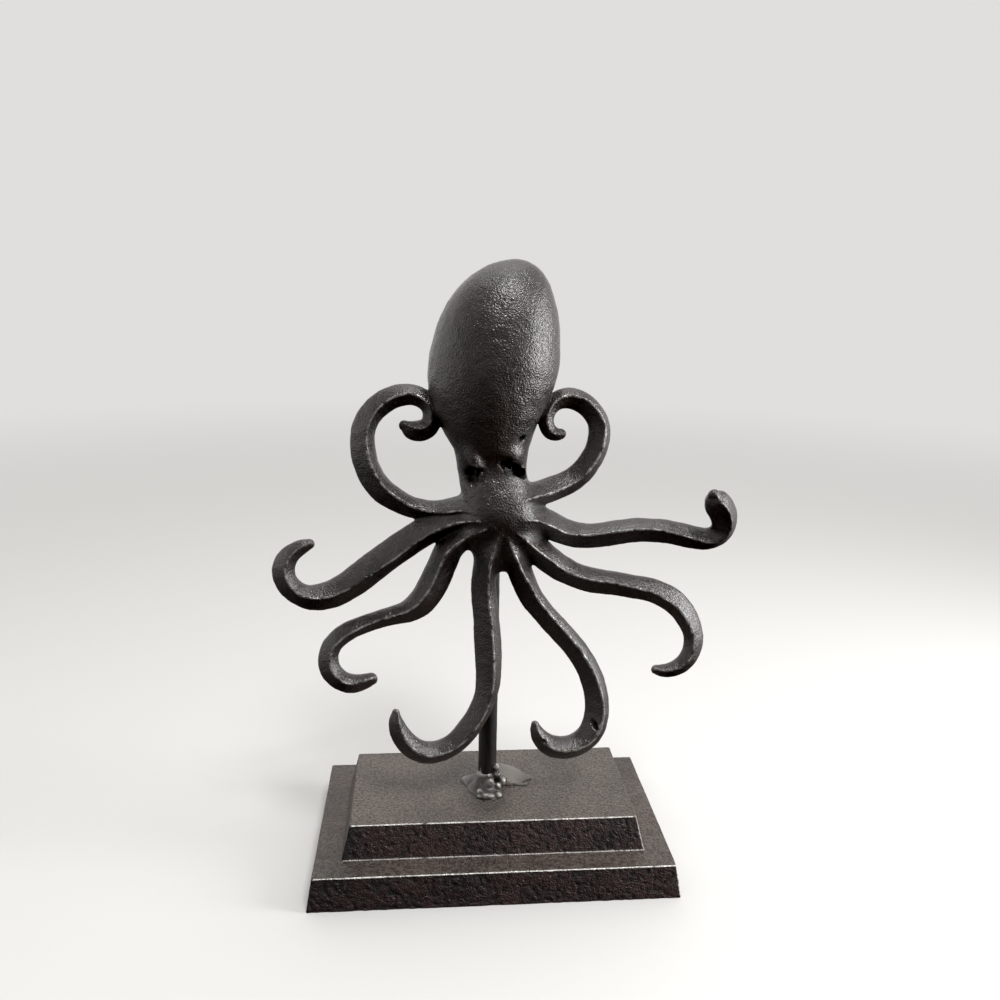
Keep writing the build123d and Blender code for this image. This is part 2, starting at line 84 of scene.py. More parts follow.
# centre line of each arm from root to tip: x, y, z, half width
ARMS = {
    "arm_upper_left": [
        (-2.7, -12.0, 157.2, 4.6), (-12.7, -11.5, 158.4, 4.5), (-21.7, -10.5, 156.4, 4.2),
        (-28.5, -10.0, 156.4, 4.2), (-34.4, -10.0, 157.7, 4.3), (-39.9, -10.0, 160.6, 4.7),
        (-44.9, -10.0, 164.3, 5.0), (-48.7, -10.0, 169.0, 5.0), (-51.3, -10.0, 174.7, 4.9),
        (-52.5, -10.0, 180.6, 4.9), (-52.5, -10.0, 185.7, 4.8), (-51.5, -10.0, 190.4, 4.7),
        (-49.4, -10.0, 194.3, 4.6), (-46.3, -10.0, 197.7, 4.6), (-42.5, -10.0, 200.3, 4.5),
        (-38.1, -10.3, 201.9, 4.3), (-33.7, -10.6, 202.2, 4.1), (-29.6, -11.0, 201.0, 3.8),
        (-26.5, -11.3, 198.0, 3.6), (-25.5, -11.5, 194.0, 3.7), (-26.8, -11.5, 190.2, 4.0),
        (-29.9, -11.5, 188.4, 4.3), (-33.2, -11.5, 188.8, 3.9), (-35.4, -11.5, 189.9, 2.9),
        (-36.3, -11.5, 190.5, 2.2)],
    "arm_left": [
        (-3.5, -12.0, 155.4, 4.8), (-11.8, -11.5, 154.6, 5.1), (-21.3, -10.8, 151.6, 5.6),
        (-29.8, -10.2, 146.9, 6.0), (-36.8, -10.0, 142.1, 6.0), (-43.5, -10.0, 137.3, 6.1),
        (-50.0, -10.0, 132.2, 6.2), (-56.5, -10.0, 127.1, 6.1), (-62.9, -10.0, 122.9, 6.0),
        (-68.7, -10.5, 120.8, 5.8), (-74.2, -11.0, 120.5, 5.3), (-78.8, -11.3, 122.2, 4.8),
        (-82.2, -11.6, 125.2, 4.7), (-84.1, -12.0, 129.2, 4.6), (-84.4, -12.3, 133.2, 4.5),
        (-83.0, -12.5, 136.9, 4.2), (-80.3, -12.7, 140.0, 3.7), (-76.9, -12.8, 142.2, 3.1),
        (-74.8, -12.8, 143.1, 2.5), (-73.8, -12.8, 143.5, 2.1)],
    "arm_lower_left": [
        (-5.4, -12.0, 150.5, 4.6), (-12.2, -11.5, 146.6, 5.2), (-18.5, -10.8, 140.6, 5.6),
        (-21.6, -10.3, 134.0, 5.9), (-23.8, -10.0, 128.5, 6.1), (-26.5, -10.0, 122.8, 6.0),
        (-30.2, -10.0, 117.5, 5.7), (-35.1, -10.0, 113.9, 4.9), (-40.8, -10.0, 112.0, 4.2),
        (-46.5, -10.0, 110.5, 3.9), (-52.2, -10.0, 108.6, 3.9), (-57.8, -10.3, 106.4, 3.9),
        (-62.6, -10.6, 103.6, 4.0), (-66.2, -11.0, 100.1, 4.0), (-68.0, -11.4, 95.6, 4.0),
        (-67.8, -11.8, 90.9, 4.2), (-65.9, -12.1, 87.0, 4.4), (-62.7, -12.4, 84.4, 4.5),
        (-58.9, -12.6, 83.3, 4.3), (-55.0, -12.7, 83.7, 3.7), (-52.0, -12.8, 84.8, 3.2),
        (-50.8, -12.8, 85.3, 2.8)],
    "arm_bottom_left": [
        (-0.2, -12.0, 148.1, 4.6), (-2.8, -11.5, 140.5, 5.0), (-4.2, -11.0, 132.9, 5.1),
        (-4.7, -10.7, 126.2, 5.3), (-4.5, -10.6, 120.4, 5.3), (-3.9, -10.6, 115.0, 5.3),
        (-3.4, -10.6, 109.5, 5.4), (-2.9, -10.6, 103.7, 5.6), (-2.5, -10.6, 97.6, 5.6),
        (-2.3, -10.7, 91.9, 5.6), (-2.2, -10.9, 86.6, 5.4), (-2.4, -11.1, 81.7, 5.2),
        (-3.3, -11.4, 76.9, 4.8), (-5.1, -11.8, 71.3, 4.8), (-9.2, -12.2, 63.6, 4.8),
        (-15.0, -12.8, 56.2, 4.8), (-21.6, -13.2, 52.2, 4.9), (-28.6, -13.6, 51.4, 5.0),
        (-35.0, -14.0, 54.9, 4.8), (-39.2, -14.3, 61.2, 4.1), (-40.8, -14.5, 67.2, 3.0),
        (-40.7, -14.5, 71.0, 1.7)],
    "arm_bottom_right": [
        (4.3, -12.0, 145.2, 4.6), (7.3, -11.5, 137.6, 5.0), (9.9, -10.8, 130.5, 5.1),
        (12.3, -10.4, 124.5, 5.0), (15.0, -10.2, 119.3, 4.8), (18.4, -10.2, 114.4, 4.7),
        (22.2, -10.2, 109.8, 4.7), (26.3, -10.2, 105.2, 4.8), (30.5, -10.3, 100.5, 4.8),
        (34.7, -10.5, 95.3, 4.7), (38.8, -10.8, 89.0, 4.8), (42.2, -11.2, 81.2, 4.9),
        (44.0, -11.6, 73.1, 5.1), (44.0, -12.1, 64.9, 5.3), (41.7, -12.6, 57.9, 5.4),
        (36.6, -13.0, 53.2, 5.4), (30.3, -13.4, 51.8, 5.2), (24.2, -13.8, 53.5, 4.7),
        (19.9, -14.1, 57.6, 3.7), (17.9, -14.3, 61.8, 2.6), (17.5, -14.3, 63.8, 1.8)],
    "arm_lower_right": [
        (7.0, -12.0, 148.1, 4.6), (14.1, -11.5, 141.8, 5.2), (21.4, -10.8, 135.9, 5.6),
        (26.9, -10.3, 131.6, 5.5), (32.8, -10.0, 128.6, 5.3), (39.1, -10.0, 126.5, 5.4),
        (45.5, -10.0, 125.2, 5.2), (51.8, -10.0, 124.2, 5.1), (58.2, -10.0, 123.0, 5.1),
        (64.4, -10.3, 121.8, 5.0), (69.6, -10.6, 119.8, 5.1), (74.4, -10.9, 117.0, 5.1),
        (78.4, -11.2, 113.1, 4.9), (81.5, -11.6, 108.4, 4.6), (83.4, -11.9, 103.8, 4.3),
        (84.1, -12.1, 98.8, 4.2), (82.8, -12.4, 93.1, 4.0), (79.0, -12.6, 88.4, 3.7),
        (73.5, -12.8, 86.4, 3.1), (69.8, -12.8, 86.6, 2.5), (68.4, -12.8, 87.0, 2.1)],
    "arm_right": [
        (8.1, -12.0, 155.6, 4.6), (14.6, -11.5, 154.2, 5.0), (21.1, -10.8, 151.0, 5.3),
        (26.8, -10.3, 147.5, 5.5), (33.0, -10.0, 145.6, 5.4), (39.2, -10.0, 145.3, 5.2),
        (45.3, -10.0, 146.0, 5.2), (51.5, -10.0, 146.9, 5.1), (57.6, -10.0, 147.5, 5.1),
        (63.9, -10.0, 147.4, 5.0), (70.2, -10.0, 146.7, 5.0), (76.4, -10.4, 145.5, 4.9),
        (81.9, -11.0, 144.5, 4.8), (86.5, -12.0, 144.3, 4.6), (90.0, -13.4, 146.1, 4.7),
        (91.8, -15.2, 149.6, 4.9), (91.3, -17.4, 154.2, 5.3), (88.9, -19.8, 158.8, 5.7),
        (86.0, -22.0, 162.3, 5.3), (84.4, -23.4, 164.4, 4.1), (83.8, -24.2, 165.7, 2.4)],
    "arm_upper_right": [
        (6.4, -12.0, 160.1, 4.6), (13.6, -11.5, 162.6, 4.9), (20.6, -10.8, 164.4, 5.1),
        (26.0, -10.3, 166.5, 5.0), (30.5, -10.0, 168.9, 4.9), (34.4, -10.0, 172.4, 4.8),
        (37.4, -10.0, 176.9, 4.7), (39.6, -10.0, 182.0, 4.5), (40.4, -10.0, 187.1, 4.3),
        (39.8, -10.0, 191.7, 4.2), (37.8, -10.0, 195.3, 4.2), (35.1, -10.0, 198.1, 4.2),
        (32.0, -10.0, 200.2, 4.2), (28.5, -10.2, 201.3, 4.1), (24.9, -10.5, 201.2, 3.9),
        (21.6, -11.0, 199.5, 3.6), (19.3, -11.3, 196.3, 3.3), (18.6, -11.5, 192.6, 3.2),
        (19.6, -11.5, 189.2, 3.1), (21.8, -11.5, 187.4, 2.9), (23.9, -11.5, 187.1, 2.5),
        (24.8, -11.5, 187.4, 2.1)],
}
# how far the front ridge sits off the middle of an arm, towards its right-hand side
# when walking from root to tip: distance along the arm, share of the half width
RIDGE = {
    "arm_upper_left": [(0, 0.05), (20, -0.12), (35, -0.42), (50, -0.52), (60, -0.48), (75, -0.28), (88, 0.05),
                       (96, 0.25), (104, 0.08), (112, -0.25), (122, -0.45)],
    "arm_left": [(0, -0.1), (30, 0.1), (42, 0.18), (60, 0.03), (78, -0.28), (94, -0.4), (103, -0.18), (110, 0.2),
                 (115, 0.3)],
    "arm_lower_left": [(0, -0.3), (30, -0.2), (48, -0.36), (60, -0.3), (76, 0.0), (89, 0.25), (96, 0.42), (116, 0.45)],
    "arm_bottom_left": [(0, 0.0), (18, 0.25), (40, 0.32), (60, 0.36), (82, 0.34), (92, 0.15), (104, -0.18),
                        (120, -0.42), (136, -0.5)],
    "arm_bottom_right": [(0, 0.1), (12, 0.2), (22, 0.42), (35, 0.52), (48, 0.48), (65, 0.34), (88, 0.4), (99, 0.12),
                         (110, -0.28), (132, -0.3)],
    "arm_lower_right": [(0, 0.4), (17, 0.25), (27, 0.2), (48, 0.38), (60, 0.2), (72, -0.05), (90, -0.26),
                        (104, -0.22), (112, -0.42), (122, -0.45)],
    "arm_right": [(0, 0.1), (20, 0.22), (34, 0.4), (58, 0.36), (72, 0.16), (86, -0.12), (110, -0.2)],
    "arm_upper_right": [(0, 0.36), (14, 0.17), (25, -0.02), (40, -0.24), (50, -0.38), (62, -0.46), (70, -0.35),
                        (78, -0.02), (92, 0.15)],
}

FRONT, BACK, RIDGE_POWER = 1.06, 0.86, 1.06
ARCH = 0.42             # how far the two faces beside a ridge swell, from flat to a pointed arch
ROOT_RISE = 1.00        # how much taller the ridge stands where an arm leaves the hub


# ------------------------------------------------------------------ small tools
def gradient_noise(seed):
    """Smooth three-dimensional noise, about -1 to 1, one wave per unit."""
    rng = np.random.RandomState(seed)
    perm = rng.permutation(256)
    perm = np.concatenate([perm, perm, perm])
    g = rng.normal(size=(256, 3))
    g /= np.linalg.norm(g, axis=1)[:, None]

    def noise(p):
        p = np.asarray(p, float)
        cell = np.floor(p).astype(np.int64)
        f = p - cell
        u = f * f * f * (f * (f * 6 - 15) + 10)
        c = cell & 255
        out = np.zeros(p.shape[:-1])
        for dx in (0, 1):
            hx = perm[c[..., 0] + dx]
            wx = u[..., 0] if dx else 1 - u[..., 0]
            for dy in (0, 1):
                hy = perm[hx + c[..., 1] + dy]
                wy = u[..., 1] if dy else 1 - u[..., 1]
                for dz in (0, 1):
                    h = perm[hy + c[..., 2] + dz] & 255
                    wz = u[..., 2] if dz else 1 - u[..., 2]
                    v = g[h]
                    dot = (v[..., 0] * (f[..., 0] - dx) + v[..., 1] * (f[..., 1] - dy)
                           + v[..., 2] * (f[..., 2] - dz))
                    out += wx * wy * wz * dot
        return out * 1.6
    return noise


def smin(a, b, k):
    h = np.clip(0.5 + 0.5 * (b - a) / k, 0.0, 1.0)
    return b + (a - b) * h - k * h * (1.0 - h)


def smax(a, b, k):
    return -smin(-a, -b, k)


def smoothstep(a, b, x):
    t = np.clip((x - a) / (b - a), 0.0, 1.0)
    return t * t * (3 - 2 * t)


def hermite(rows, t_new):
    """A smooth curve through the rows of numbers, whose first column is the parameter."""
    t, p = rows[:, 0], rows[:, 1:]
    m = np.zeros_like(p)
    m[1:-1] = (p[2:] - p[:-2]) / (t[2:] - t[:-2])[:, None]
    m[0] = (p[1] - p[0]) / (t[1] - t[0])
    m[-1] = (p[-1] - p[-2]) / (t[-1] - t[-2])
    i = np.clip(np.searchsorted(t, t_new, side="right") - 1, 0, len(t) - 2)
    h = (t[i + 1] - t[i])
    s = ((t_new - t[i]) / h)[:, None]
    h = h[:, None]
    return ((2 * s**3 - 3 * s**2 + 1) * p[i] + (s**3 - 2 * s**2 + s) * h * m[i]
            + (-2 * s**3 + 3 * s**2) * p[i + 1] + (s**3 - s**2) * h * m[i + 1])


def unit(v):
    return v / np.maximum(np.linalg.norm(v, axis=-1, keepdims=True), 1e-9)


class Grid:
    def __init__(self, low, high, h):
        self.h = h
        self.low = np.array(low, float)
        self.n = np.ceil((np.array(high, float) - self.low) / h).astype(int) + 1
        self.x, self.y, self.z = [self.low[k] + h * np.arange(self.n[k]) for k in range(3)]

    def full(self):
        return np.meshgrid(self.x, self.y, self.z, indexing="ij", sparse=True)

    def sample(self, d, p):
        """Value of a field on this grid at points, linear between its cells."""
        q = (p - self.low) / self.h
        q = np.clip(q, 0, np.array(d.shape) - 1.001)
        i = q.astype(int)
        f = q - i
        out = np.zeros(len(p))
        for dx in (0, 1):
            for dy in (0, 1):
                for dz in (0, 1):
                    w = ((f[:, 0] if dx else 1 - f[:, 0]) * (f[:, 1] if dy else 1 - f[:, 1])
                         * (f[:, 2] if dz else 1 - f[:, 2]))
                    out += w * d[i[:, 0] + dx, i[:, 1] + dy, i[:, 2] + dz]
        return out

    def slope(self, d, p):
        e = 0.6 * self.h
        cols = []
        for k in range(3):
            step = np.zeros(3)
            step[k] = e
            cols.append((self.sample(d, p + step) - self.sample(d, p - step)) / (2 * e))
        return np.stack(cols, 1)

    def skin(self, d):
        """Quads on the zero surface of a field, outward facing."""
        s = d < 0
        c = sum(s[i:self.n[0] - 1 + i, j:self.n[1] - 1 + j, k:self.n[2] - 1 + k].astype(np.int8)
                for i in (0, 1) for j in (0, 1) for k in (0, 1))
        active = (c > 0) & (c < 8)
        ids = np.full(active.shape, -1, np.int64)
        cells = np.argwhere(active)
        ids[active] = np.arange(len(cells))
        acc, cnt = np.zeros((len(cells), 3)), np.zeros(len(cells))
        corners = [(i, j, k) for i in (0, 1) for j in (0, 1) for k in (0, 1)]
        for a in corners:
            for axis in range(3):
                if a[axis]:
                    continue
                b = tuple(v + (1 if n == axis else 0) for n, v in enumerate(a))
                va = d[cells[:, 0] + a[0], cells[:, 1] + a[1], cells[:, 2] + a[2]]
                vb = d[cells[:, 0] + b[0], cells[:, 1] + b[1], cells[:, 2] + b[2]]
                m = (va < 0) != (vb < 0)
                t = va[m] / (va[m] - vb[m])
                pos = np.tile(np.array(a, float), (m.sum(), 1))
                pos[:, axis] += t
                acc[m] += pos
                cnt[m] += 1
        v = (cells + acc / cnt[:, None]) * self.h + self.low
        quads = []
        for axis in range(3):
            a1, a2 = (axis + 1) % 3, (axis + 2) % 3
            lo = [slice(None)] * 3
            hi = [slice(None)] * 3
            lo[axis], hi[axis] = slice(0, -1), slice(1, None)
            change = s[tuple(lo)] != s[tuple(hi)]
            inner = [slice(None)] * 3
            inner[a1] = inner[a2] = slice(1, -1)
            e = np.argwhere(change[tuple(inner)])
            e[:, a1] += 1
            e[:, a2] += 1

            def cell(d1, d2):
                q = e.copy()
                q[:, a1] -= d1
                q[:, a2] -= d2
                return ids[q[:, 0], q[:, 1], q[:, 2]]
            f = np.stack([cell(1, 1), cell(0, 1), cell(0, 0), cell(1, 0)], 1)
            inside_low = s[e[:, 0], e[:, 1], e[:, 2]]
            f[~inside_low] = f[~inside_low][:, ::-1]
            quads.append(f)
        q = np.concatenate(quads)
        for _ in range(3):                       # settle the corners onto the surface
            g = self.slope(d, v)
            val = self.sample(d, v)
            move = -val[:, None] * g / np.maximum((g * g).sum(1), 0.05)[:, None]
            size = np.linalg.norm(move, axis=1, keepdims=True)
            v = v + move * np.minimum(1.0, 0.35 * self.h / np.maximum(size, 1e-9))
        return v, q


def vertex_normals(v, q):
    n = np.cross(v[q[:, 2]] - v[q[:, 0]], v[q[:, 3]] - v[q[:, 1]])
    out = np.zeros_like(v)
    for k in range(4):
        for c in range(3):
            out[:, c] += np.bincount(q[:, k], n[:, c], len(v))
    return unit(out)


def blurred(d, radius):
    """Mean of a field over a cube of cells."""
    out = d
    for axis in range(3):
        pad = [(radius + 1, radius) if k == axis else (0, 0) for k in range(3)]
        c = np.cumsum(np.pad(out, pad, mode="edge"), axis=axis, dtype=np.float64)
        w = 2 * radius + 1
        hi = [slice(None)] * 3
        lo = [slice(None)] * 3
        hi[axis], lo[axis] = slice(w, None), slice(0, -w)
        out = ((c[tuple(hi)] - c[tuple(lo)]) / w).astype(np.float32)
    return out


def make_object(name, v, faces, normals=None, wear_and_highlight=None, material=None, smooth=True, painted_top_light=None, painted_shade_and_stain=None):
    me = bpy.data.meshes.new(name)
    me.from_pydata((np.asarray(v) * MM).tolist(), [], [list(map(int, f)) for f in faces])
    me.validate(verbose=False)
    me.update()
    if smooth:
        me.polygons.foreach_set("use_smooth", np.ones(len(me.polygons), bool))
    for key, amount in (("wear_and_highlight", wear_and_highlight), ("painted_top_light", painted_top_light), ("painted_shade_and_stain", painted_shade_and_stain)):
        if amount is not None:
            at = me.attributes.new(key, "FLOAT", "POINT")
            at.data.foreach_set("value", np.asarray(amount, np.float32))
    if normals is not None:
        me.normals_split_custom_set_from_vertices([tuple(n) for n in normals])
    o = bpy.data.objects.new(name, me)
    bpy.context.scene.collection.objects.link(o)
    if material:
        me.materials.append(material)
    return o


# ------------------------------------------------------------------ materials
def node(tree, kind, at, **values):
    n = tree.nodes.new(kind)
    n.location = at
    for key, value in values.items():
        n.inputs[key].default_value = value
    return n


def iron(name, dark, light, rough_low, rough_high, grain, lumps, rub_and_highlight_colour, rub_and_highlight_amount, tone_scale=55.0,
         metallic=0.0, ior=1.8, gaps_at=(0.42, 0.58), top_light_colour=None, rub_and_highlight_metal=1.0):
    """Waxed cast iron: uneven tone, sand grain in relief, high spots rubbed to bright metal that also serves as a
    painted highlight, an optional lighter top colour that is painted light, and painted shade pulled to near black
    (sharing its channel with real stains on the base).
    """
    m = bpy.data.materials.new(name)
    m.use_nodes = True
    t = m.node_tree
    t.nodes.clear()
    link = t.links.new
    out = node(t, "ShaderNodeOutputMaterial", (900, 0))
    bsdf = node(t, "ShaderNodeBsdfPrincipled", (600, 0), IOR=ior)
    link(bsdf.outputs["BSDF"], out.inputs["Surface"])
    where = node(t, "ShaderNodeTexCoord", (-1200, 0))
    tone = node(t, "ShaderNodeTexNoise", (-900, 300), Scale=tone_scale, Detail=6.0, Roughness=0.66)
    link(where.outputs["Object"], tone.inputs["Vector"])
    speck = node(t, "ShaderNodeTexNoise", (-900, 80), Scale=900.0, Detail=2.0, Roughness=0.6)
    link(where.outputs["Object"], speck.inputs["Vector"])
    ramp = node(t, "ShaderNodeValToRGB", (-640, 300))
    ramp.color_ramp.elements[0].position = 0.34
    ramp.color_ramp.elements[0].color = (*dark, 1)
    ramp.color_ramp.elements[1].position = 0.68
    ramp.color_ramp.elements[1].color = (*light, 1)
    link(tone.outputs["Fac"], ramp.inputs["Fac"])
    # rubbed bright metal where this attribute is high, which also serves as a painted highlight on ridges, edges, bead
    # tops and flecks
    rub_and_highlight = node(t, "ShaderNodeAttribute", (-900, -160))
    rub_and_highlight.attribute_name = "wear_and_highlight"
    gaps = node(t, "ShaderNodeTexNoise", (-900, -320), Scale=260.0, Detail=4.0, Roughness=0.7)
    link(where.outputs["Object"], gaps.inputs["Vector"])
    gap_map = node(t, "ShaderNodeMapRange", (-640, -320))
    for key, value in (("From Min", gaps_at[0]), ("From Max", gaps_at[1]), ("To Min", 0.0), ("To Max", rub_and_highlight_amount)):
        gap_map.inputs[key].default_value = value
    link(gaps.outputs["Fac"], gap_map.inputs["Value"])
    rub_and_highlight_map = node(t, "ShaderNodeMapRange", (-640, -160))
    for key, value in (("From Min", 0.55), ("From Max", 1.0)):
        rub_and_highlight_map.inputs[key].default_value = value
    link(rub_and_highlight.outputs["Fac"], rub_and_highlight_map.inputs["Value"])
    bright = node(t, "ShaderNodeMath", (-420, -160))
    bright.operation = "MULTIPLY"
    link(rub_and_highlight_map.outputs["Result"], bright.inputs[0])
    link(gap_map.outputs["Result"], bright.inputs[1])
    mix = node(t, "ShaderNodeMix", (-180, 200))
    mix.data_type = "RGBA"
    link(bright.outputs["Value"], mix.inputs[0])
    ground = ramp.outputs["Color"]
    # painted light: a lighter colour is mixed in where the top light attribute is high, speckled and uneven
    if top_light_colour:
        top_light_attr = node(t, "ShaderNodeAttribute", (-900, 560))
        top_light_attr.attribute_name = "painted_top_light"
        top_light_speckle = node(t, "ShaderNodeMapRange", (-640, 560))
        for key, value in (("From Min", 0.40), ("From Max", 0.60), ("To Min", 0.12), ("To Max", 1.0)):
            top_light_speckle.inputs[key].default_value = value
        link(speck.outputs["Fac"], top_light_speckle.inputs["Value"])
        cover = node(t, "ShaderNodeMath", (-420, 560))
        cover.operation = "MULTIPLY"
        link(top_light_attr.outputs["Fac"], cover.inputs[0])
        link(top_light_speckle.outputs["Result"], cover.inputs[1])
        top_light_tone = node(t, "ShaderNodeMapRange", (-640, 720))
        for key, value in (("From Min", 0.36), ("From Max", 0.60), ("To Min", 0.72), ("To Max", 1.0)):
            top_light_tone.inputs[key].default_value = value
        link(tone.outputs["Fac"], top_light_tone.inputs["Value"])
        thin = node(t, "ShaderNodeMath", (-360, 640))
        thin.operation = "MULTIPLY"
        link(cover.outputs["Value"], thin.inputs[0])
        link(top_light_tone.outputs["Result"], thin.inputs[1])
        top_light_mix = node(t, "ShaderNodeMix", (-300, 420))
        top_light_mix.data_type = "RGBA"
        link(thin.outputs["Value"], top_light_mix.inputs[0])
        link(ground, top_light_mix.inputs[6])
        top_light_mix.inputs[7].default_value = (*top_light_colour, 1)
        ground = top_light_mix.outputs[2]
    # painted shade: the colour is pulled to near black where this attribute is high; on the base the same attribute
    # also carries a real stain
    black = node(t, "ShaderNodeAttribute", (-900, 900))
    black.attribute_name = "painted_shade_and_stain"
    sunk = node(t, "ShaderNodeMix", (-240, 620))
    sunk.data_type = "RGBA"
    link(black.outputs["Fac"], sunk.inputs[0])
    link(ground, sunk.inputs[6])
    sunk.inputs[7].default_value = (0.0030, 0.0024, 0.0022, 1)
    link(sunk.outputs[2], mix.inputs[6])
    mix.inputs[7].default_value = (*rub_and_highlight_colour, 1)
    link(mix.outputs[2], bsdf.inputs["Base Color"])
    shine = node(t, "ShaderNodeMapRange", (-180, 20))
    shine.inputs["To Min"].default_value = metallic
    shine.inputs["To Max"].default_value = rub_and_highlight_metal
    link(bright.outputs["Value"], shine.inputs["Value"])
    link(shine.outputs["Result"], bsdf.inputs["Metallic"])
    rough = node(t, "ShaderNodeMapRange", (-180, -240))
    for key, value in (("From Min", 0.3), ("From Max", 0.7), ("To Min", rough_low), ("To Max", rough_high)):
        rough.inputs[key].default_value = value
    link(speck.outputs["Fac"], rough.inputs["Value"])
    dull = node(t, "ShaderNodeMath", (60, -240))
    dull.operation = "MULTIPLY_ADD"
    link(black.outputs["Fac"], dull.inputs[0])
    dull.inputs[1].default_value = 0.35
    link(rough.outputs["Result"], dull.inputs[2])
    link(dull.outputs["Value"], bsdf.inputs["Roughness"])
    sand = node(t, "ShaderNodeTexNoise", (-900, -560), Scale=1500.0, Detail=1.0, Roughness=0.5)
    peel = node(t, "ShaderNodeTexNoise", (-900, -780), Scale=520.0, Detail=2.0, Roughness=0.5)
    for n in (sand, peel):
        link(where.outputs["Object"], n.inputs["Vector"])
    b1 = node(t, "ShaderNodeBump", (120, -520), Strength=1.0, Distance=lumps)
    b2 = node(t, "ShaderNodeBump", (360, -520), Strength=1.0, Distance=grain)
    link(peel.outputs["Fac"], b1.inputs["Height"])
    link(sand.outputs["Fac"], b2.inputs["Height"])
    link(b1.outputs["Normal"], b2.inputs["Normal"])
    link(b2.outputs["Normal"], bsdf.inputs["Normal"])
    return m


iron_octopus = iron("iron_octopus", (0.012, 0.0082, 0.0070), (0.031, 0.0210, 0.0175), 0.26, 0.42,
                    0.00030, 0.00012, (0.46, 0.44, 0.42), 0.9, rub_and_highlight_metal=0.68)
iron_base = iron("iron_base", (0.012, 0.0059, 0.0048), (0.042, 0.0205, 0.0170), 0.42, 0.58,
                 0.00056, 0.00034, (0.80, 0.78, 0.75), 1.0, 45.0, 0.0, 1.55, (0.33, 0.47), (0.150, 0.130, 0.112))
steel_post = iron("steel_post", (0.0045, 0.0038, 0.0034), (0.012, 0.0098, 0.0086), 0.32, 0.48,
                  0.00014, 0.00010, (0.30, 0.28, 0.26), 0.3, 55.0, 0.0, 1.65)
weld_metal = iron("weld_metal", (0.022, 0.0185, 0.016), (0.062, 0.053, 0.046), 0.26, 0.40,
                  0.00014, 0.00016, (0.42, 0.40, 0.38), 1.0, 120.0, 0.0, 1.65, (0.26, 0.42), None, 0.6)
weld_skin = iron("weld_skin", (0.100, 0.088, 0.077), (0.170, 0.152, 0.135), 0.42, 0.58,
                 0.00030, 0.00020, (0.40, 0.38, 0.36), 0.2, 60.0, 0.0, 1.55)


def place(o, slot_name, *nodes):
    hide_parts(*nodes)
    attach(o, "root")
    return o


# ------------------------------------------------------------------ octopus skin
def ellipsoid(x, y, z, at, size, turn=0.0):
    """Distance to an ellipsoid, turned about the viewing axis by degrees."""
    dx, dy, dz = x - at[0], y - at[1], z - at[2]
    c, s = math.cos(math.radians(turn)), math.sin(math.radians(turn))
    u, w = c * dx + s * dz, -s * dx + c * dz
    k0 = np.sqrt((u / size[0])**2 + (dy / size[1])**2 + (w / size[2])**2)
    k1 = np.sqrt((u / size[0]**2)**2 + (dy / size[1]**2)**2 + (w / size[2]**2)**2)
    return k0 * (k0 - 1.0) / np.maximum(k1, 1e-6)


def arm_curve(rows, step=0.1):
    rows = np.array(rows, float)
    chord = np.r_[0, np.cumsum(np.linalg.norm(np.diff(rows[:, :3], axis=0), axis=1))]
    t = np.arange(0, chord[-1], step)
    c = hermite(np.column_stack([chord, rows]), t)
    w = np.exp(-0.5 * (np.arange(-30, 31) * step / 0.9)**2)
    w /= w.sum()
    for k in range(4):
        padded = np.concatenate([2 * c[0, k] - c[30:0:-1, k], c[:, k], 2 * c[-1, k] - c[-2:-32:-1, k]])
        c[:, k] = np.convolve(padded, w, mode="valid")
    p, r = c[:, :3], np.maximum(c[:, 3], 0.6)
    along = unit(np.gradient(p, axis=0))
    front = np.tile(np.array([0.0, -1.0, 0.0]), (len(p), 1))
    front = unit(front - along * (front * along).sum(1)[:, None])
    across = np.cross(front, along)
    length = np.r_[0, np.cumsum(np.linalg.norm(np.diff(p, axis=0), axis=1))]
    return {"p": p, "r": r, "T": along, "F": front, "N": across, "s": length}


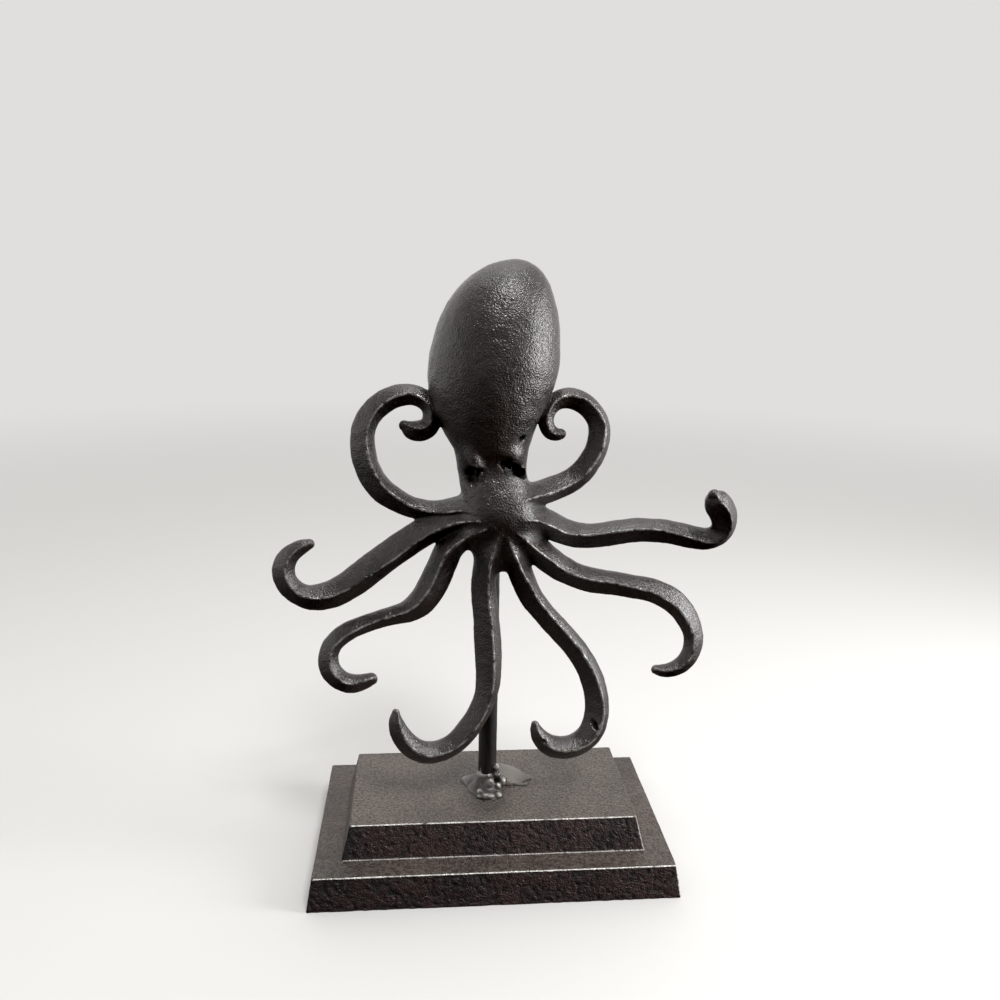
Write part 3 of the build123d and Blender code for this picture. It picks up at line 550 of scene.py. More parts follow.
def arm_field(grid, c, ridge, reach=7.0):
    """Distance to one arm: a tapering bar with a ridge along its front."""
    near = np.full(grid.n, 1e9, np.float32)
    who = np.full(grid.n, -1, np.int32)
    for i in range(0, len(c["p"]), 6):
        p, rad = c["p"][i], c["r"][i] + reach
        lo = np.clip(np.floor((p - rad - grid.low) / grid.h).astype(int), 0, grid.n - 1)
        hi = np.clip(np.ceil((p + rad - grid.low) / grid.h).astype(int) + 1, 1, grid.n)
        sl = tuple(slice(a, b) for a, b in zip(lo, hi))
        d2 = ((grid.x[sl[0]] - p[0])**2)[:, None, None] + ((grid.y[sl[1]] - p[1])**2)[None, :, None] \
            + ((grid.z[sl[2]] - p[2])**2)[None, None, :]
        m = d2 < near[sl]
        near[sl][m] = d2[m]
        who[sl][m] = i
    hit = np.argwhere(who >= 0)
    idx = who[hit[:, 0], hit[:, 1], hit[:, 2]]
    x = grid.low + hit * grid.h
    last = len(c["p"]) - 1
    lowest, highest = np.maximum(idx - 6, 0), np.minimum(idx + 6, last)
    for _ in range(2):
        ahead = ((x - c["p"][idx]) * c["T"][idx]).sum(1)
        want = idx + np.round(ahead / 0.1).astype(int)
        idx = np.clip(want, lowest, highest)
    ahead = ((x - c["p"][idx]) * c["T"][idx]).sum(1)
    over = np.where(idx == last, np.maximum(ahead, 0), 0) + np.where(idx == 0, np.maximum(-ahead, 0), 0)
    d = x - c["p"][idx]
    a = c["r"][idx]
    u, v = (d * c["N"][idx]).sum(1), (d * c["F"][idx]).sum(1)
    uu, vv = u / a, v / a
    s_here = c["s"][idx]
    shift = np.interp(s_here, [k[0] for k in ridge], [k[1] for k in ridge])
    tall = FRONT + ROOT_RISE * (1 - smoothstep(3.0, 31.0, s_here))
    front = np.maximum(vv, 0) / tall
    lean = uu - shift * np.minimum(front, 1.0)
    f_front = (np.abs(lean)**RIDGE_POWER + front**RIDGE_POWER)**(1 / RIDGE_POWER)
    f_front = (1 - ARCH) * f_front + ARCH * 0.5 * (np.abs(lean) + np.sqrt(lean**2 + 4 * front**2))
    f_back = np.sqrt(uu**2 + (vv / BACK)**2)
    f = np.where(vv > 0, f_front, f_back)
    f = np.sqrt(f**2 + (over / np.maximum(a, 0.8))**2)
    radius = np.sqrt(u**2 + v**2 + over**2)
    sd = np.where(f > 0.05, radius * (1 - 1 / np.maximum(f, 0.05)), -a)
    out = np.full(grid.n, 12.0, np.float32)
    out[hit[:, 0], hit[:, 1], hit[:, 2]] = sd
    return out


grid = Grid((-95.0, -36.0, 42.0), (101.0, 14.0, 258.0), VOX)
X, Y, Z = grid.full()

zs = grid.z
stack = np.vstack([[BODY_LOW_Z, BODY[0, 1], BODY[0, 2], 0, 0], BODY, [BODY_TOP_Z, 5.4, -12.0, 0, 0]])
area = stack[:, 3] * stack[:, 4]
ratio = np.r_[BODY[0, 4] / BODY[0, 3], BODY[:, 4] / BODY[:, 3], BODY[-1, 4] / BODY[-1, 3]]
rows = np.column_stack([stack[:, 0], stack[:, 1], stack[:, 2], area, ratio])
inside = np.clip(zs, BODY_LOW_Z, BODY_TOP_Z)
curve = hermite(rows, inside)
low_slope = (area[1] - area[0]) / (stack[1, 0] - stack[0, 0])
top_slope = (area[-2] - area[-1]) / (stack[-1, 0] - stack[-2, 0])
curve[:, 2] -= np.maximum(BODY_LOW_Z - zs, 0) * low_slope + np.maximum(zs - BODY_TOP_Z, 0) * top_slope
cx, cy, ab, ro = [curve[:, k][None, None, :] for k in range(4)]
half_w = np.sqrt(np.maximum(ab, 1e-3) / ro)
half_d = np.sqrt(np.maximum(ab, 1e-3) * ro)
flat = (2.0 + 0.45 * smoothstep(138.0, 148.0, zs) * (1 - smoothstep(160.0, 172.0, zs)))[None, None, :]
ring = (np.abs(X - cx) / half_w)**flat + (np.abs(Y - cy) / half_d)**flat
g = np.where(ab > 1e-3, ab * (ring**(2 / flat) - 1), (X - cx)**2 * ro + (Y - cy)**2 / ro - ab).astype(np.float32)
del ring
gx, gy, gz = np.gradient(g, VOX)
size = np.sqrt(gx**2 + gy**2 + gz**2)
body = np.clip(g / np.maximum(size, 1.0), -25, 60).astype(np.float32)
del g, gx, gy, gz, size

# brows, and the dark hollows under them
near_eyes = (slice(int((-24 - grid.low[0]) / VOX), int((20 - grid.low[0]) / VOX)), slice(0, None),
             slice(int((160 - grid.low[2]) / VOX), int((200 - grid.low[2]) / VOX)))
ex, ey, ez = grid.x[near_eyes[0]][:, None, None], grid.y[None, :, None], grid.z[near_eyes[2]][None, None, :]
ep = np.stack(np.broadcast_arrays(ex, ey, ez), -1)
wander = 0.7 * gradient_noise(61)(ep / 4.6)
stray = 0.7 * gradient_noise(62)(ep / 4.2)
ux, uz = ex + wander, ez + stray
brow_l = ellipsoid(ux, ey, uz, (-9.9, -21.0, 179.6), (5.3, 2.8, 1.9), -58.0)
brow_r = ellipsoid(ux, ey, uz, (3.8, -20.5, 181.8), (4.6, 3.4, 2.8), -22.0)
hollow_l = ellipsoid(ux, ey, uz, (-10.5, -20.6, 171.8), (2.7, 4.9, 3.2), 12.0)
hollow_r = smin(ellipsoid(ux, ey, uz, (6.2, -21.2, 175.3), (6.5, 5.6, 2.5), -24.0),
                ellipsoid(ux, ey, uz, (6.4, -14.0, 172.8), (5.4, 4.4, 3.0), -24.0), 1.4)
dent_r = ellipsoid(ux, ey, uz, (8.3, -22.4, 187.3), (1.8, 1.6, 1.1), 24.0)
part = body[near_eyes]
part = smin(part, brow_l, 2.6)
part = smin(part, brow_r, 2.8)
part = smax(part, -hollow_l, 3.0)
part = smax(part, -hollow_r, 1.2)
part = smax(part, -dent_r, 0.6)
skin = body.copy()
skin[near_eyes] = part.astype(np.float32)
head = skin.copy()
# the eye hollows, also used below to paint them near black as painted shade
sockets = np.full(grid.n, 9.0, np.float32)
sockets[near_eyes] = np.minimum(np.minimum(hollow_l + 0.9, hollow_r), dent_r)

from_hub = np.sqrt((X - 1.5)**2 + (Z - 149.0)**2) + 0 * Y
blend = (1.1 + 1.4 * (1 - smoothstep(18.0, 34.0, from_hub)) + 3.2 * (1 - smoothstep(9.0, 20.0, from_hub))).astype(np.float32)
fields = {}
for name, rows in ARMS.items():
    fields[name] = arm_field(grid, arm_curve(rows), RIDGE[name])
    skin = smin(skin, fields[name], blend)

# casting flaws at the hook of the lowest right arm: a gash across its inner face, a pit by its tip
flaw_box = (slice(int((10 - grid.low[0]) / VOX), int((56 - grid.low[0]) / VOX)), slice(0, None),
            slice(int((46 - grid.low[2]) / VOX), int((76 - grid.low[2]) / VOX)))
fx, fy, fz = grid.x[flaw_box[0]][:, None, None], grid.y[None, :, None], grid.z[flaw_box[2]][None, None, :]
for at, size, turn in (((42.6, -15.9, 63.9), (3.8, 1.4, 1.1), -50.0), ((20.8, -17.7, 57.3), (1.5, 1.1, 0.8), -40.0)):
    skin[flaw_box] = smax(skin[flaw_box], -ellipsoid(fx, fy, fz, at, size, turn), 0.9).astype(np.float32)

# the groove for the rod at the back of the hub
rod = np.sqrt((X - POST_X)**2 + Y**2) - POST_R
rod = np.maximum(rod, Z - POST_TOP_Z)
skin = np.maximum(skin, -rod).astype(np.float32)



def settled(field):
    """The field with cells that would meet only along an edge joined, so that each edge has two facets."""
    field = field.copy()
    for _ in range(12):
        inside = field < 0
        count = 0
        for a, b in ((0, 1), (0, 2), (1, 2)):
            cut = [[slice(None)] * 3 for _ in range(4)]
            for c, (i, j) in zip(cut, ((0, 0), (1, 0), (0, 1), (1, 1))):
                c[a], c[b] = (slice(1, None) if i else slice(0, -1)), (slice(1, None) if j else slice(0, -1))
            s00, s10, s01, s11 = (inside[tuple(c)] for c in cut)
            for crossed, ends in (((s00 & s11 & ~s10 & ~s01), ((1, 0), (0, 1))), ((s10 & s01 & ~s00 & ~s11), ((0, 0), (1, 1)))):
                for at in np.argwhere(crossed):
                    spots = []
                    for i, j in ends:
                        spot = at.copy()
                        spot[a] += i
                        spot[b] += j
                        spots.append(tuple(spot))
                    field[min(spots, key=lambda p: field[p])] = -1e-3
                    count += 1
        if not count:
            break
    return field


def one_body(v, q):
    """Keeps the one connected skin and leaves out loose crumbs."""
    e = np.sort(np.concatenate([q[:, [k, (k + 1) % 4]] for k in range(4)]), 1)
    code = e[:, 0] * len(v) + e[:, 1]
    order = np.argsort(code, kind="stable")
    code, face = code[order], np.tile(np.arange(len(q)), 4)[order]
    start = np.flatnonzero(np.r_[True, code[1:] != code[:-1]])
    pair = start[np.diff(np.r_[start, len(code)]) == 2]
    a, b = face[pair], face[pair + 1]
    root = np.arange(len(q))
    while True:
        low = np.minimum(root[a], root[b])
        new = root.copy()
        for at in (a, b, root[a], root[b]):
            np.minimum.at(new, at, low)
        new = new[new]
        if (new == root).all():
            break
        root = new
    q = q[root == np.bincount(root).argmax()]
    used, index = np.unique(q, return_inverse=True)
    return v[used], index.reshape(q.shape)


v, q = one_body(*grid.skin(settled(skin)))
curl = grid.sample(blurred(skin, max(1, int(round(1.25 / VOX)))), v)
sunken = grid.sample(blurred(skin, max(1, int(round(3.2 / VOX)))), v)
n = vertex_normals(v, q)
lump, ripple, sandy = gradient_noise(3), gradient_noise(5), gradient_noise(8)
v = v + n * (0.22 * lump(v / 11.0) + 0.13 * ripple(v / 4.2) + 0.06 * sandy(v / 1.9))[:, None]
n = vertex_normals(v, q)
# ridges and high spots painted as rubbed bright metal: partly real wear, partly a painted highlight along the ridges
wear_and_highlight = 0.10 + 0.90 * smoothstep(0.07, 0.235, curl)
# the painted highlight is turned down near the arm tips
for name, rows in ARMS.items():
    end = np.array(rows[-2][:3])
    keep = 0.30 if name in ("arm_right", "arm_upper_right", "arm_upper_left") else 0.70
    wear_and_highlight = wear_and_highlight * (keep + (1 - keep) * smoothstep(3.5, 12.0, np.linalg.norm(v - end, axis=1)))
# painted shade: near black in creases, in the valleys between arms and in the eye hollows
painted_shade_and_stain = 0.92 * np.maximum(smoothstep(0.24, 0.85, -sunken), 1 - smoothstep(-0.2, 1.3, grid.sample(sockets, v)))

# which piece each facet of the skin belongs to
mid = v[q].mean(1)
names = list(ARMS) + ["head_mantle", "arm_hub", "eye_left", "eye_right"]
vals = np.stack([grid.sample(fields[k], mid) for k in ARMS] + [grid.sample(head, mid)], 1)
label = vals.argmin(1)
is_head = label == len(ARMS)
label[is_head & (mid[:, 2] < NECK_CUT_Z)] = names.index("arm_hub")


def in_ball(p, at, size):
    return (((p - np.array(at)) / np.array(size))**2).sum(1) < 1


label[is_head & in_ball(mid, (-10.2, -22.5, 178.2), (6.6, 8.0, 9.6))] = names.index("eye_left")
label[is_head & in_ball(mid, (5.4, -23.5, 180.2), (7.4, 8.0, 8.8))] = names.index("eye_right")


def tidy(label, q, count):
    """Joins every stray island of facets to the piece around it."""
    e = np.concatenate([q[:, [k, (k + 1) % 4]] for k in range(4)])
    f = np.tile(np.arange(len(q)), 4)
    key = np.sort(e, 1)
    order = np.lexsort((key[:, 1], key[:, 0]))
    key, f = key[order], f[order]
    same = (key[1:] == key[:-1]).all(1)
    pa, pb = f[:-1][same], f[1:][same]
    for _ in range(4):
        root = np.arange(len(q))
        keep = label[pa] == label[pb]
        a, b = pa[keep], pb[keep]
        while True:
            low = np.minimum(root[a], root[b])
            new = root.copy()
            np.minimum.at(new, a, low)
            np.minimum.at(new, b, low)
            new = new[new]
            if (new == root).all():
                break
            root = new
        sizes = np.bincount(root, minlength=len(q))
        best = np.zeros(count, int)
        for k in range(count):
            r = root[label == k]
            best[k] = np.bincount(r, minlength=len(q)).argmax() if len(r) else -1
        stray = root != best[label]
        if not stray.any():
            break
        for _ in range(400):
            m1 = stray[pa] & ~stray[pb]
            m2 = stray[pb] & ~stray[pa]
            if not (m1.any() or m2.any()):
                break
            label[pa[m1]] = label[pb[m1]]
            label[pb[m2]] = label[pa[m2]]
            stray[pa[m1]] = False
            stray[pb[m2]] = False
    return label


label = tidy(label, q, len(names))


def piece(k):
    """One piece of the skin, closed on the inside where it meets its neighbours."""
    f = q[label == k]
    used, inv = np.unique(f, return_inverse=True)
    f = inv.reshape(f.shape)
    pv, pn, pw, ps = v[used], n[used], wear_and_highlight[used], painted_shade_and_stain[used]
    e = np.concatenate([f[:, [j, (j + 1) % 4]] for j in range(4)])
    count = {}
    for a, b in map(tuple, e.tolist()):
        count[(a, b)] = count.get((a, b), 0) + 1
    rim = []
    for (a, b), m in count.items():
        rim += [(a, b)] * (m - count.get((b, a), 0))
    nxt = {}
    for a, b in sorted(rim):
        nxt.setdefault(a, []).append(b)
    caps, extra_v, extra_n = [], [], []
    for a in sorted(nxt):
        while nxt[a]:
            loop = [a]
            cur = nxt[a].pop()
            while cur != a:
                loop.append(cur)
                cur = nxt[cur].pop()
            centre = pv[loop].mean(0)
            inward = pn[loop].mean(0)
            hub = len(pv) + len(extra_v)
            extra_v.append(centre - 1.2 * inward)
            extra_n.append(-inward + 1e-6)
            caps += [(loop[(i + 1) % len(loop)], loop[i], hub) for i in range(len(loop))]
    faces = [tuple(r) for r in f] + caps
    if extra_v:
        pv = np.vstack([pv, extra_v])
        pn = np.vstack([pn, unit(np.array(extra_n))])
        pw = np.r_[pw, np.zeros(len(extra_v))]
        ps = np.r_[ps, np.zeros(len(extra_v))]
    o = make_object(names[k], pv, faces, pn, pw, iron_octopus, painted_shade_and_stain=ps)
    place(o, "iron_octopus", names[k])
    return o


for node_name in names:
    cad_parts[node_name].name = node_name + ".cad"
octopus = [piece(k) for k in range(len(names))]

# ------------------------------------------------------------------ base casting
# One profile, from the deck down both steps and back up inside the hollow, is carried round
# a rectangle with small corners. Profile corners: outward offset from the foot, height,
# rounding, row spacing on the way to the next corner.
step_1, step_2 = STEP_1_DRAFT, STEP_1_DRAFT + LEDGE
deck_in = step_2 + STEP_2_DRAFT
fine, coarse = 0.75 * BASE_STEP, 2.6 * BASE_STEP
PROFILE = [
    (-deck_in - 2.4, DECK_Z, 0.0, 0.6), (-deck_in, DECK_Z, 0.50, fine), (-step_2, STEP_1_H, 0.45, BASE_STEP),
    (-step_1, STEP_1_H, 0.50, fine), (0.0, 0.0, 0.35, 1.2), (-BASE_WALL, 0.0, 0.9, coarse),
    (-BASE_WALL - step_1, STEP_1_H - BASE_WALL, 2.2, coarse),
    (-BASE_WALL - step_2, STEP_1_H - BASE_WALL, 2.2, coarse),
    (-BASE_WALL - deck_in, DECK_Z - BASE_WALL, 2.2, coarse), (-BASE_WALL - deck_in - 3.0, DECK_Z - BASE_WALL, 0.0, 1.0)]


def rounded_profile(rows):
    """Points along a line of corners with rounded bends, and the number of the bend each is on (-1 for none)."""
    pts, bend = [], []
    start = np.array(rows[0][:2])
    for i in range(1, len(rows)):
        here, spacing = np.array(rows[i][:2]), rows[i - 1][3]
        to = unit((here - start)[None])[0]
        if i == len(rows) - 1:
            arc, cut = [here], here
        else:
            out = unit((np.array(rows[i + 1][:2]) - here)[None])[0]
            turn = math.acos(np.clip(to @ out, -1, 1))
            reach = rows[i][2] * math.tan(turn / 2)
            cut, leave = here - to * reach, here + out * reach
            side = unit((out - to)[None])[0]
            centre = here + side * rows[i][2] / math.cos(turn / 2)
            arc = []
            for k in range(7):
                w = k / 6
                ray = unit(((cut - centre) * math.sin((1 - w) * turn) + (leave - centre) * math.sin(w * turn))[None])[0]
                arc.append(centre + ray * rows[i][2])
        n_rows = max(1, int(round(np.linalg.norm(cut - start) / spacing)))
        for k in range(n_rows):
            pts.append(start + (cut - start) * k / n_rows)
            bend.append(-1)
        if i == len(rows) - 1:
            pts.append(here)
            bend.append(-1)
        else:
            for k in range(6):
                pts.append(arc[k])
                bend.append(i)
            start = arc[6]
    pts = np.array(pts)
    return pts, np.array(bend)


def rectangle_ring(w, d, r, n_long, n_short, n_corner):
    """A rectangle with rounded corners, from its front left corner round to the right."""
    t, u = np.arange(n_long) / n_long, np.arange(n_short) / n_short
    a = np.radians(90.0 * np.arange(n_corner) / n_corner)
    lx, ly = w - r, d - r
    parts = [np.stack([-lx + 2 * lx * t, 0 * t - d], 1),
             np.stack([lx + r * np.sin(a), -ly - r * np.cos(a)], 1),
             np.stack([0 * u + w, -ly + 2 * ly * u], 1),
             np.stack([lx + r * np.cos(a), ly + r * np.sin(a)], 1),
             np.stack([lx - 2 * lx * t, 0 * t + d], 1),
             np.stack([-lx - r * np.sin(a), ly + r * np.cos(a)], 1),
             np.stack([0 * u - w, ly - 2 * ly * u], 1),
             np.stack([-lx - r * np.cos(a), -ly - r * np.sin(a)], 1)]
    return np.concatenate(parts)


N_LONG, N_SHORT, N_CORNER = int(150 / BASE_STEP), int(86 / BASE_STEP), 9
line, bends = rounded_profile(PROFILE)
CORNER_R = 0.7
rings3 = []
for o, z in line:
    xy = rectangle_ring(BASE_W / 2 + o, BASE_D / 2 + o, CORNER_R, N_LONG, N_SHORT, N_CORNER)
    rings3.append(np.column_stack([xy, np.full(len(xy), z)]))


def towards_hole(ring, count, power):
    """Rings from a rectangle in to the rod's hole, on one level."""
    away = ring[:, :2] - np.array([POST_X, 0.0])
    hole = np.column_stack([np.array([POST_X, 0.0]) + 4.1 * unit(away), ring[:, 2]])
    return [hole + (ring - hole) * (k / count)**power for k in range(count)]


deck_rings = towards_hole(rings3[0], int(30 / (0.9 * BASE_STEP)), 0.9)
roof_rings = towards_hole(rings3[-1], int(24 / coarse), 1.0)[::-1]
rows3 = deck_rings + rings3 + roof_rings
n_col, n_row = len(rows3[0]), len(rows3)
pv = np.concatenate(rows3)
r_i, c_i = np.meshgrid(np.arange(n_row), np.arange(n_col), indexing="ij")
down, on = (r_i + 1) % n_row, (c_i + 1) % n_col
pq = np.stack([r_i * n_col + c_i, down * n_col + c_i, down * n_col + on, r_i * n_col + on], -1).reshape(-1, 4)
pn = vertex_normals(pv, pq)

# how near each point is to an edge, along the profile and round the plan; these edges are painted as bright rubbed
# metal, partly real wear and partly a painted highlight
run = np.r_[0, np.cumsum(np.linalg.norm(np.diff(line, axis=0), axis=1))]
near_edge = np.zeros(n_row)
for k, strength in ((1, 1.0), (2, 0.8), (3, 1.0)):
    middle = run[bends == k].mean()
    near_edge[len(deck_rings):len(deck_rings) + len(line)] = np.maximum(
        near_edge[len(deck_rings):len(deck_rings) + len(line)], strength * np.exp(-((run - middle) / 0.52)**2))
outer_row = np.zeros(n_row, bool)
outer_row[:len(deck_rings) + int(np.where(bends == 4)[0][-1]) + 1] = True
column = np.arange(n_col)
corner_at = np.cumsum([N_LONG, N_CORNER, N_SHORT, N_CORNER, N_LONG, N_CORNER, N_SHORT, N_CORNER])[::2] + N_CORNER / 2
near_corner = np.max([np.exp(-((column - c) / (0.36 * N_CORNER))**2) for c in corner_at], axis=0)
edge = np.repeat(near_edge, n_col)
corner = np.tile(near_corner, n_row)
outer = np.repeat(outer_row, n_col)
upright = (1 - smoothstep(0.30, 0.60, np.abs(pn[:, 2]))) * outer
# painted light: up-facing faces are painted a lighter colour, as if lit from above; the end faces of the upper step get
# it too, and the ledge gets less
top_light_mask = smoothstep(0.45, 0.92, pn[:, 2]) * outer
side_of = np.r_[np.full(N_LONG, 1.0), np.full(N_CORNER, 0.9), np.full(N_SHORT, 0.30), np.full(N_CORNER, 0.3),
                np.full(N_LONG, 0.55), np.full(N_CORNER, 0.2), np.full(N_SHORT, 0.12), np.full(N_CORNER, 0.35)]
side_of = np.tile(side_of, n_row)
worn_edges_and_glints = np.maximum(edge * side_of, corner * side_of * upright * (pv[:, 2] > 0.8)) * outer
ends = upright * (np.abs(pn[:, 0]) > 0.7) * (pv[:, 2] > STEP_1_H)
top_light_mask = np.maximum(top_light_mask, 0.9 * ends) * np.where(pv[:, 2] < STEP_1_H + 1.0, 0.66, 1.0)

pit = gradient_noise(31)(pv / np.array([1.7, 1.7, 2.3]))
fleck = gradient_noise(36)(pv / np.array([0.95, 0.95, 1.2]))
crack = 1 - np.abs(gradient_noise(33)(pv / np.array([3.0, 3.0, 5.0]))) * 5.0
crack = np.maximum(crack, 0) * smoothstep(0.0, 0.2, gradient_noise(34)(pv / 9.0))
low_spots = 1.15 * np.maximum(pit - 0.08, 0) + 0.6 * np.maximum(fleck - 0.15, 0) + 0.6 * crack
calm = 1 - np.minimum(edge + 0.5 * corner, 1)
wave = 0.09 * gradient_noise(21)(pv / 14.0) + 0.05 * gradient_noise(22)(pv / 3.4) + 0.03 * gradient_noise(32)(pv / 1.3)
nick = 0.45 * np.maximum(gradient_noise(25)(pv / 3.1) - 0.30, 0) * edge
ragged = 0.5 * np.maximum(gradient_noise(24)(pv / np.array([3.6, 3.6, 2.4])), 0) * (1 - smoothstep(0.5, 3.2, pv[:, 2])) * outer
move = np.where(outer, wave, 0.15 * gradient_noise(23)(pv / 6.0)) * smoothstep(0.2, 1.4, pv[:, 2])
move = move - 0.52 * low_spots * upright * calm * (1 - 0.7 * ends) - nick - ragged
hole_edge = np.hypot(pv[:, 0] - POST_X, pv[:, 1]) < 4.6
move[hole_edge] = 0
pv = pv + pn * move[:, None]
pv[:, 2] = np.maximum(pv[:, 2], 0.0)
# painted shade in the pits of the upright faces, less towards the back; a real stain is added further down
base_shade_and_stain = np.clip(1.6 * low_spots * upright * calm * (1 - ends), 0, 0.85) * (1 - 0.45 * smoothstep(-20.0, 10.0, pv[:, 1]))
# painted glints: scattered flecks on the upright faces painted as bright metal
glint = smoothstep(0.50, 0.70, gradient_noise(38)(pv / 1.15)) * upright * (1 - ends)
worn_edges_and_glints = np.maximum(worn_edges_and_glints, 0.70 * glint)
# the upper step's front left corner is rounded off; a band of its front face there is painted dark, a painted shade
from_end = pv[:, 0] + BASE_W / 2 - step_2 - STEP_2_DRAFT * np.clip((pv[:, 2] - STEP_1_H) / STEP_2_H, 0, 1)
painted_dark_end = (1 - smoothstep(2.0, 4.6, from_end)) * (pn[:, 1] < -0.6) * (pv[:, 2] > STEP_1_H + 0.6) * (pv[:, 2] < DECK_Z - 0.6)
base_shade_and_stain = np.maximum(base_shade_and_stain, 0.9 * painted_dark_end)
stain = 0.34 * np.exp(-((pv[:, 0] + 1.5) / 8.0)**2 - ((pv[:, 1] + 18.5) / 4.5)**2) * smoothstep(0.5, 0.9, pn[:, 2]) * outer
base_shade_and_stain = np.maximum(base_shade_and_stain, stain * (1 + 0.5 * gradient_noise(37)(pv / 2.2)))
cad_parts["base_plinth"].name = "base_plinth.cad"
base = make_object("base_plinth", pv, pq, None, worn_edges_and_glints, iron_base, painted_top_light=top_light_mask, painted_shade_and_stain=base_shade_and_stain)
place(base, "iron_base", "base_plinth")

# ------------------------------------------------------------------ rod
rings, around = 170, 40
zz = np.linspace(DECK_Z - BASE_WALL - 1.0, POST_TOP_Z, rings)
ang = np.linspace(0, 2 * math.pi, around, endpoint=False)
rv = np.stack([POST_X + POST_R * np.cos(ang)[None, :] + 0 * zz[:, None],
               POST_R * np.sin(ang)[None, :] + 0 * zz[:, None],
               zz[:, None] + 0 * ang[None, :]], -1).reshape(-1, 3)
out_dir = np.stack([np.cos(ang), np.sin(ang), 0 * ang], -1)
rv += np.tile(out_dir, (rings, 1)) * (0.07 * gradient_noise(41)(rv / 5.0) + 0.03 * gradient_noise(42)(rv / 1.8))[:, None]
rf = []
for i in range(rings - 1):
    for j in range(around):
        k = (j + 1) % around
        rf.append((i * around + j, i * around + k, (i + 1) * around + k, (i + 1) * around + j))
rf.append(tuple(range(around - 1, -1, -1)))
rf.append(tuple((rings - 1) * around + j for j in range(around)))
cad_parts["post"].name = "post.cad"
post = make_object("post", rv, rf, None, None, steel_post)
place(post, "steel_post", "post")

# ------------------------------------------------------------------ welds
wg = Grid((-18.0, -18.0, DECK_Z - 1.2), (24.0, 17.0, DECK_Z + 13.0), VOX_WELD)
wx, wy, wz = wg.full()


def blob(at, size, turn=0.0):
    return ellipsoid(wx, wy, wz, at, size, turn)


rod_near = np.sqrt((wx - POST_X)**2 + wy**2) - POST_R
around_rod = np.degrees(np.arctan2(wy, wx - POST_X)) % 360
# how far the weld has run out on the deck, by direction (0 right, 90 back, 180 left, 270 front)
spread = np.interp(around_rod, [0, 40, 90, 130, 158, 172, 195, 228, 255, 272, 292, 315, 340, 360],
                   [6.6, 7.4, 8.6, 10.0, 13.0, 12.0, 10.2, 11.4, 12.8, 13.4, 12.4, 9.2, 7.0, 6.6])
climb = np.interp(around_rod, [0, 90, 180, 270, 360], [8.6, 7.5, 9.4, 9.8, 8.6])
rise = np.clip((wz - DECK_Z) / climb, 0, 1)
reach = -0.5 + (spread - POST_R + 0.5) * (1 - rise)**2.1
weld = np.maximum((rod_near - reach) * 0.72, (wz - DECK_Z - climb) * 0.8)
WP = np.stack(np.broadcast_arrays(wx, wy, wz), -1)
weld = weld + 0.50 * gradient_noise(51)(WP / 4.6) + 0.16 * gradient_noise(52)(WP / 1.9)
for at, size in (((-0.4, -6.4, 31.0), (2.1, 2.0, 2.9)), ((2.7, -3.0, 34.0), (2.0, 1.9, 2.0)),
                 ((5.0, -4.2, 31.0), (1.7, 1.7, 2.3)), ((-2.6, -11.4, 28.6), (3.9, 1.9, 1.7)),
                 ((2.8, -10.8, 28.4), (1.6, 1.6, 1.4)), ((2.8, -6.6, 30.2), (1.6, 1.6, 1.9)),
                 ((5.6, -1.2, 29.4), (1.7, 1.7, 2.1)), ((2.6, -2.6, 37.2), (1.2, 1.2, 1.9)),
                 ((-4.4, -9.6, 29.6), (2.0, 1.8, 1.4))):
    weld = smin(weld, blob(at, size) + 0.22 * gradient_noise(56)(WP / 2.4), 1.0)
weld = np.maximum(weld, -(rod_near + 0.35))
weld = np.maximum(weld, (DECK_Z - 0.5) - wz).astype(np.float32)
wv, wq = one_body(*wg.skin(settled(weld)))
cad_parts["post_foot_weld"].name = "post_foot_weld.cad"
bulge = wg.sample(blurred(weld, 3), wv)
# painted highlight: the bead tops are painted as bright metal
proud = 0.55 + 0.45 * smoothstep(0.16, 0.42, bulge) * smoothstep(0.5, 1.5, wv[:, 2] - DECK_Z)
# painted shade in the creases between beads and along the weld's foot on the deck
foot = make_object("post_foot_weld", wv, wq, None, proud, weld_metal,
                   painted_shade_and_stain=np.maximum(0.9 * smoothstep(0.08, 0.5, -bulge), 0.55 * (1 - smoothstep(0.1, 0.9, wv[:, 2] - DECK_Z))))
place(foot, "weld_metal", "post_foot_weld")


def oval(at, size):
    """Distance to an upright oval column."""
    dx, dy = wx - at[0], wy - at[1]
    k0 = np.sqrt((dx / size[0])**2 + (dy / size[1])**2)
    k1 = np.sqrt((dx / size[0]**2)**2 + (dy / size[1]**2)**2)
    return k0 * (k0 - 1.0) / np.maximum(k1, 1e-6)


plan = smin(oval((8.6, 4.6), (7.8, 7.4)), oval((14.6, 3.4), (4.4, 2.6)), 1.6)
plan = smin(plan, oval((13.6, -2.2), (3.4, 1.1)), 0.5) + 0.45 * gradient_noise(57)(WP / np.array([5.0, 5.0, 50.0]))
thick = 1.15 + 3.4 * (1 - smoothstep(3.0, 13.0, np.hypot(wx - 2.6, wy - 5.0)))
lip = smax(plan, 0.85 * (wz - DECK_Z - thick), 1.5)
lip = lip + 0.12 * gradient_noise(53)(WP / 4.5)
lip = np.maximum(lip, -(weld + 0.05))
lip = np.maximum(lip, (DECK_Z - 0.5) - wz).astype(np.float32)
lv, lq = one_body(*wg.skin(settled(lip)))
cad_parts["foot_weld_runout"].name = "foot_weld_runout.cad"
# painted shade along the run-out's lower edge by the deck
runout = make_object("foot_weld_runout", lv, lq, None, np.zeros(len(lv)), weld_skin,
                     painted_shade_and_stain=0.8 * (1 - smoothstep(0.2, 0.95, lv[:, 2] - DECK_Z)))
place(runout, "weld_metal", "foot_weld_runout")

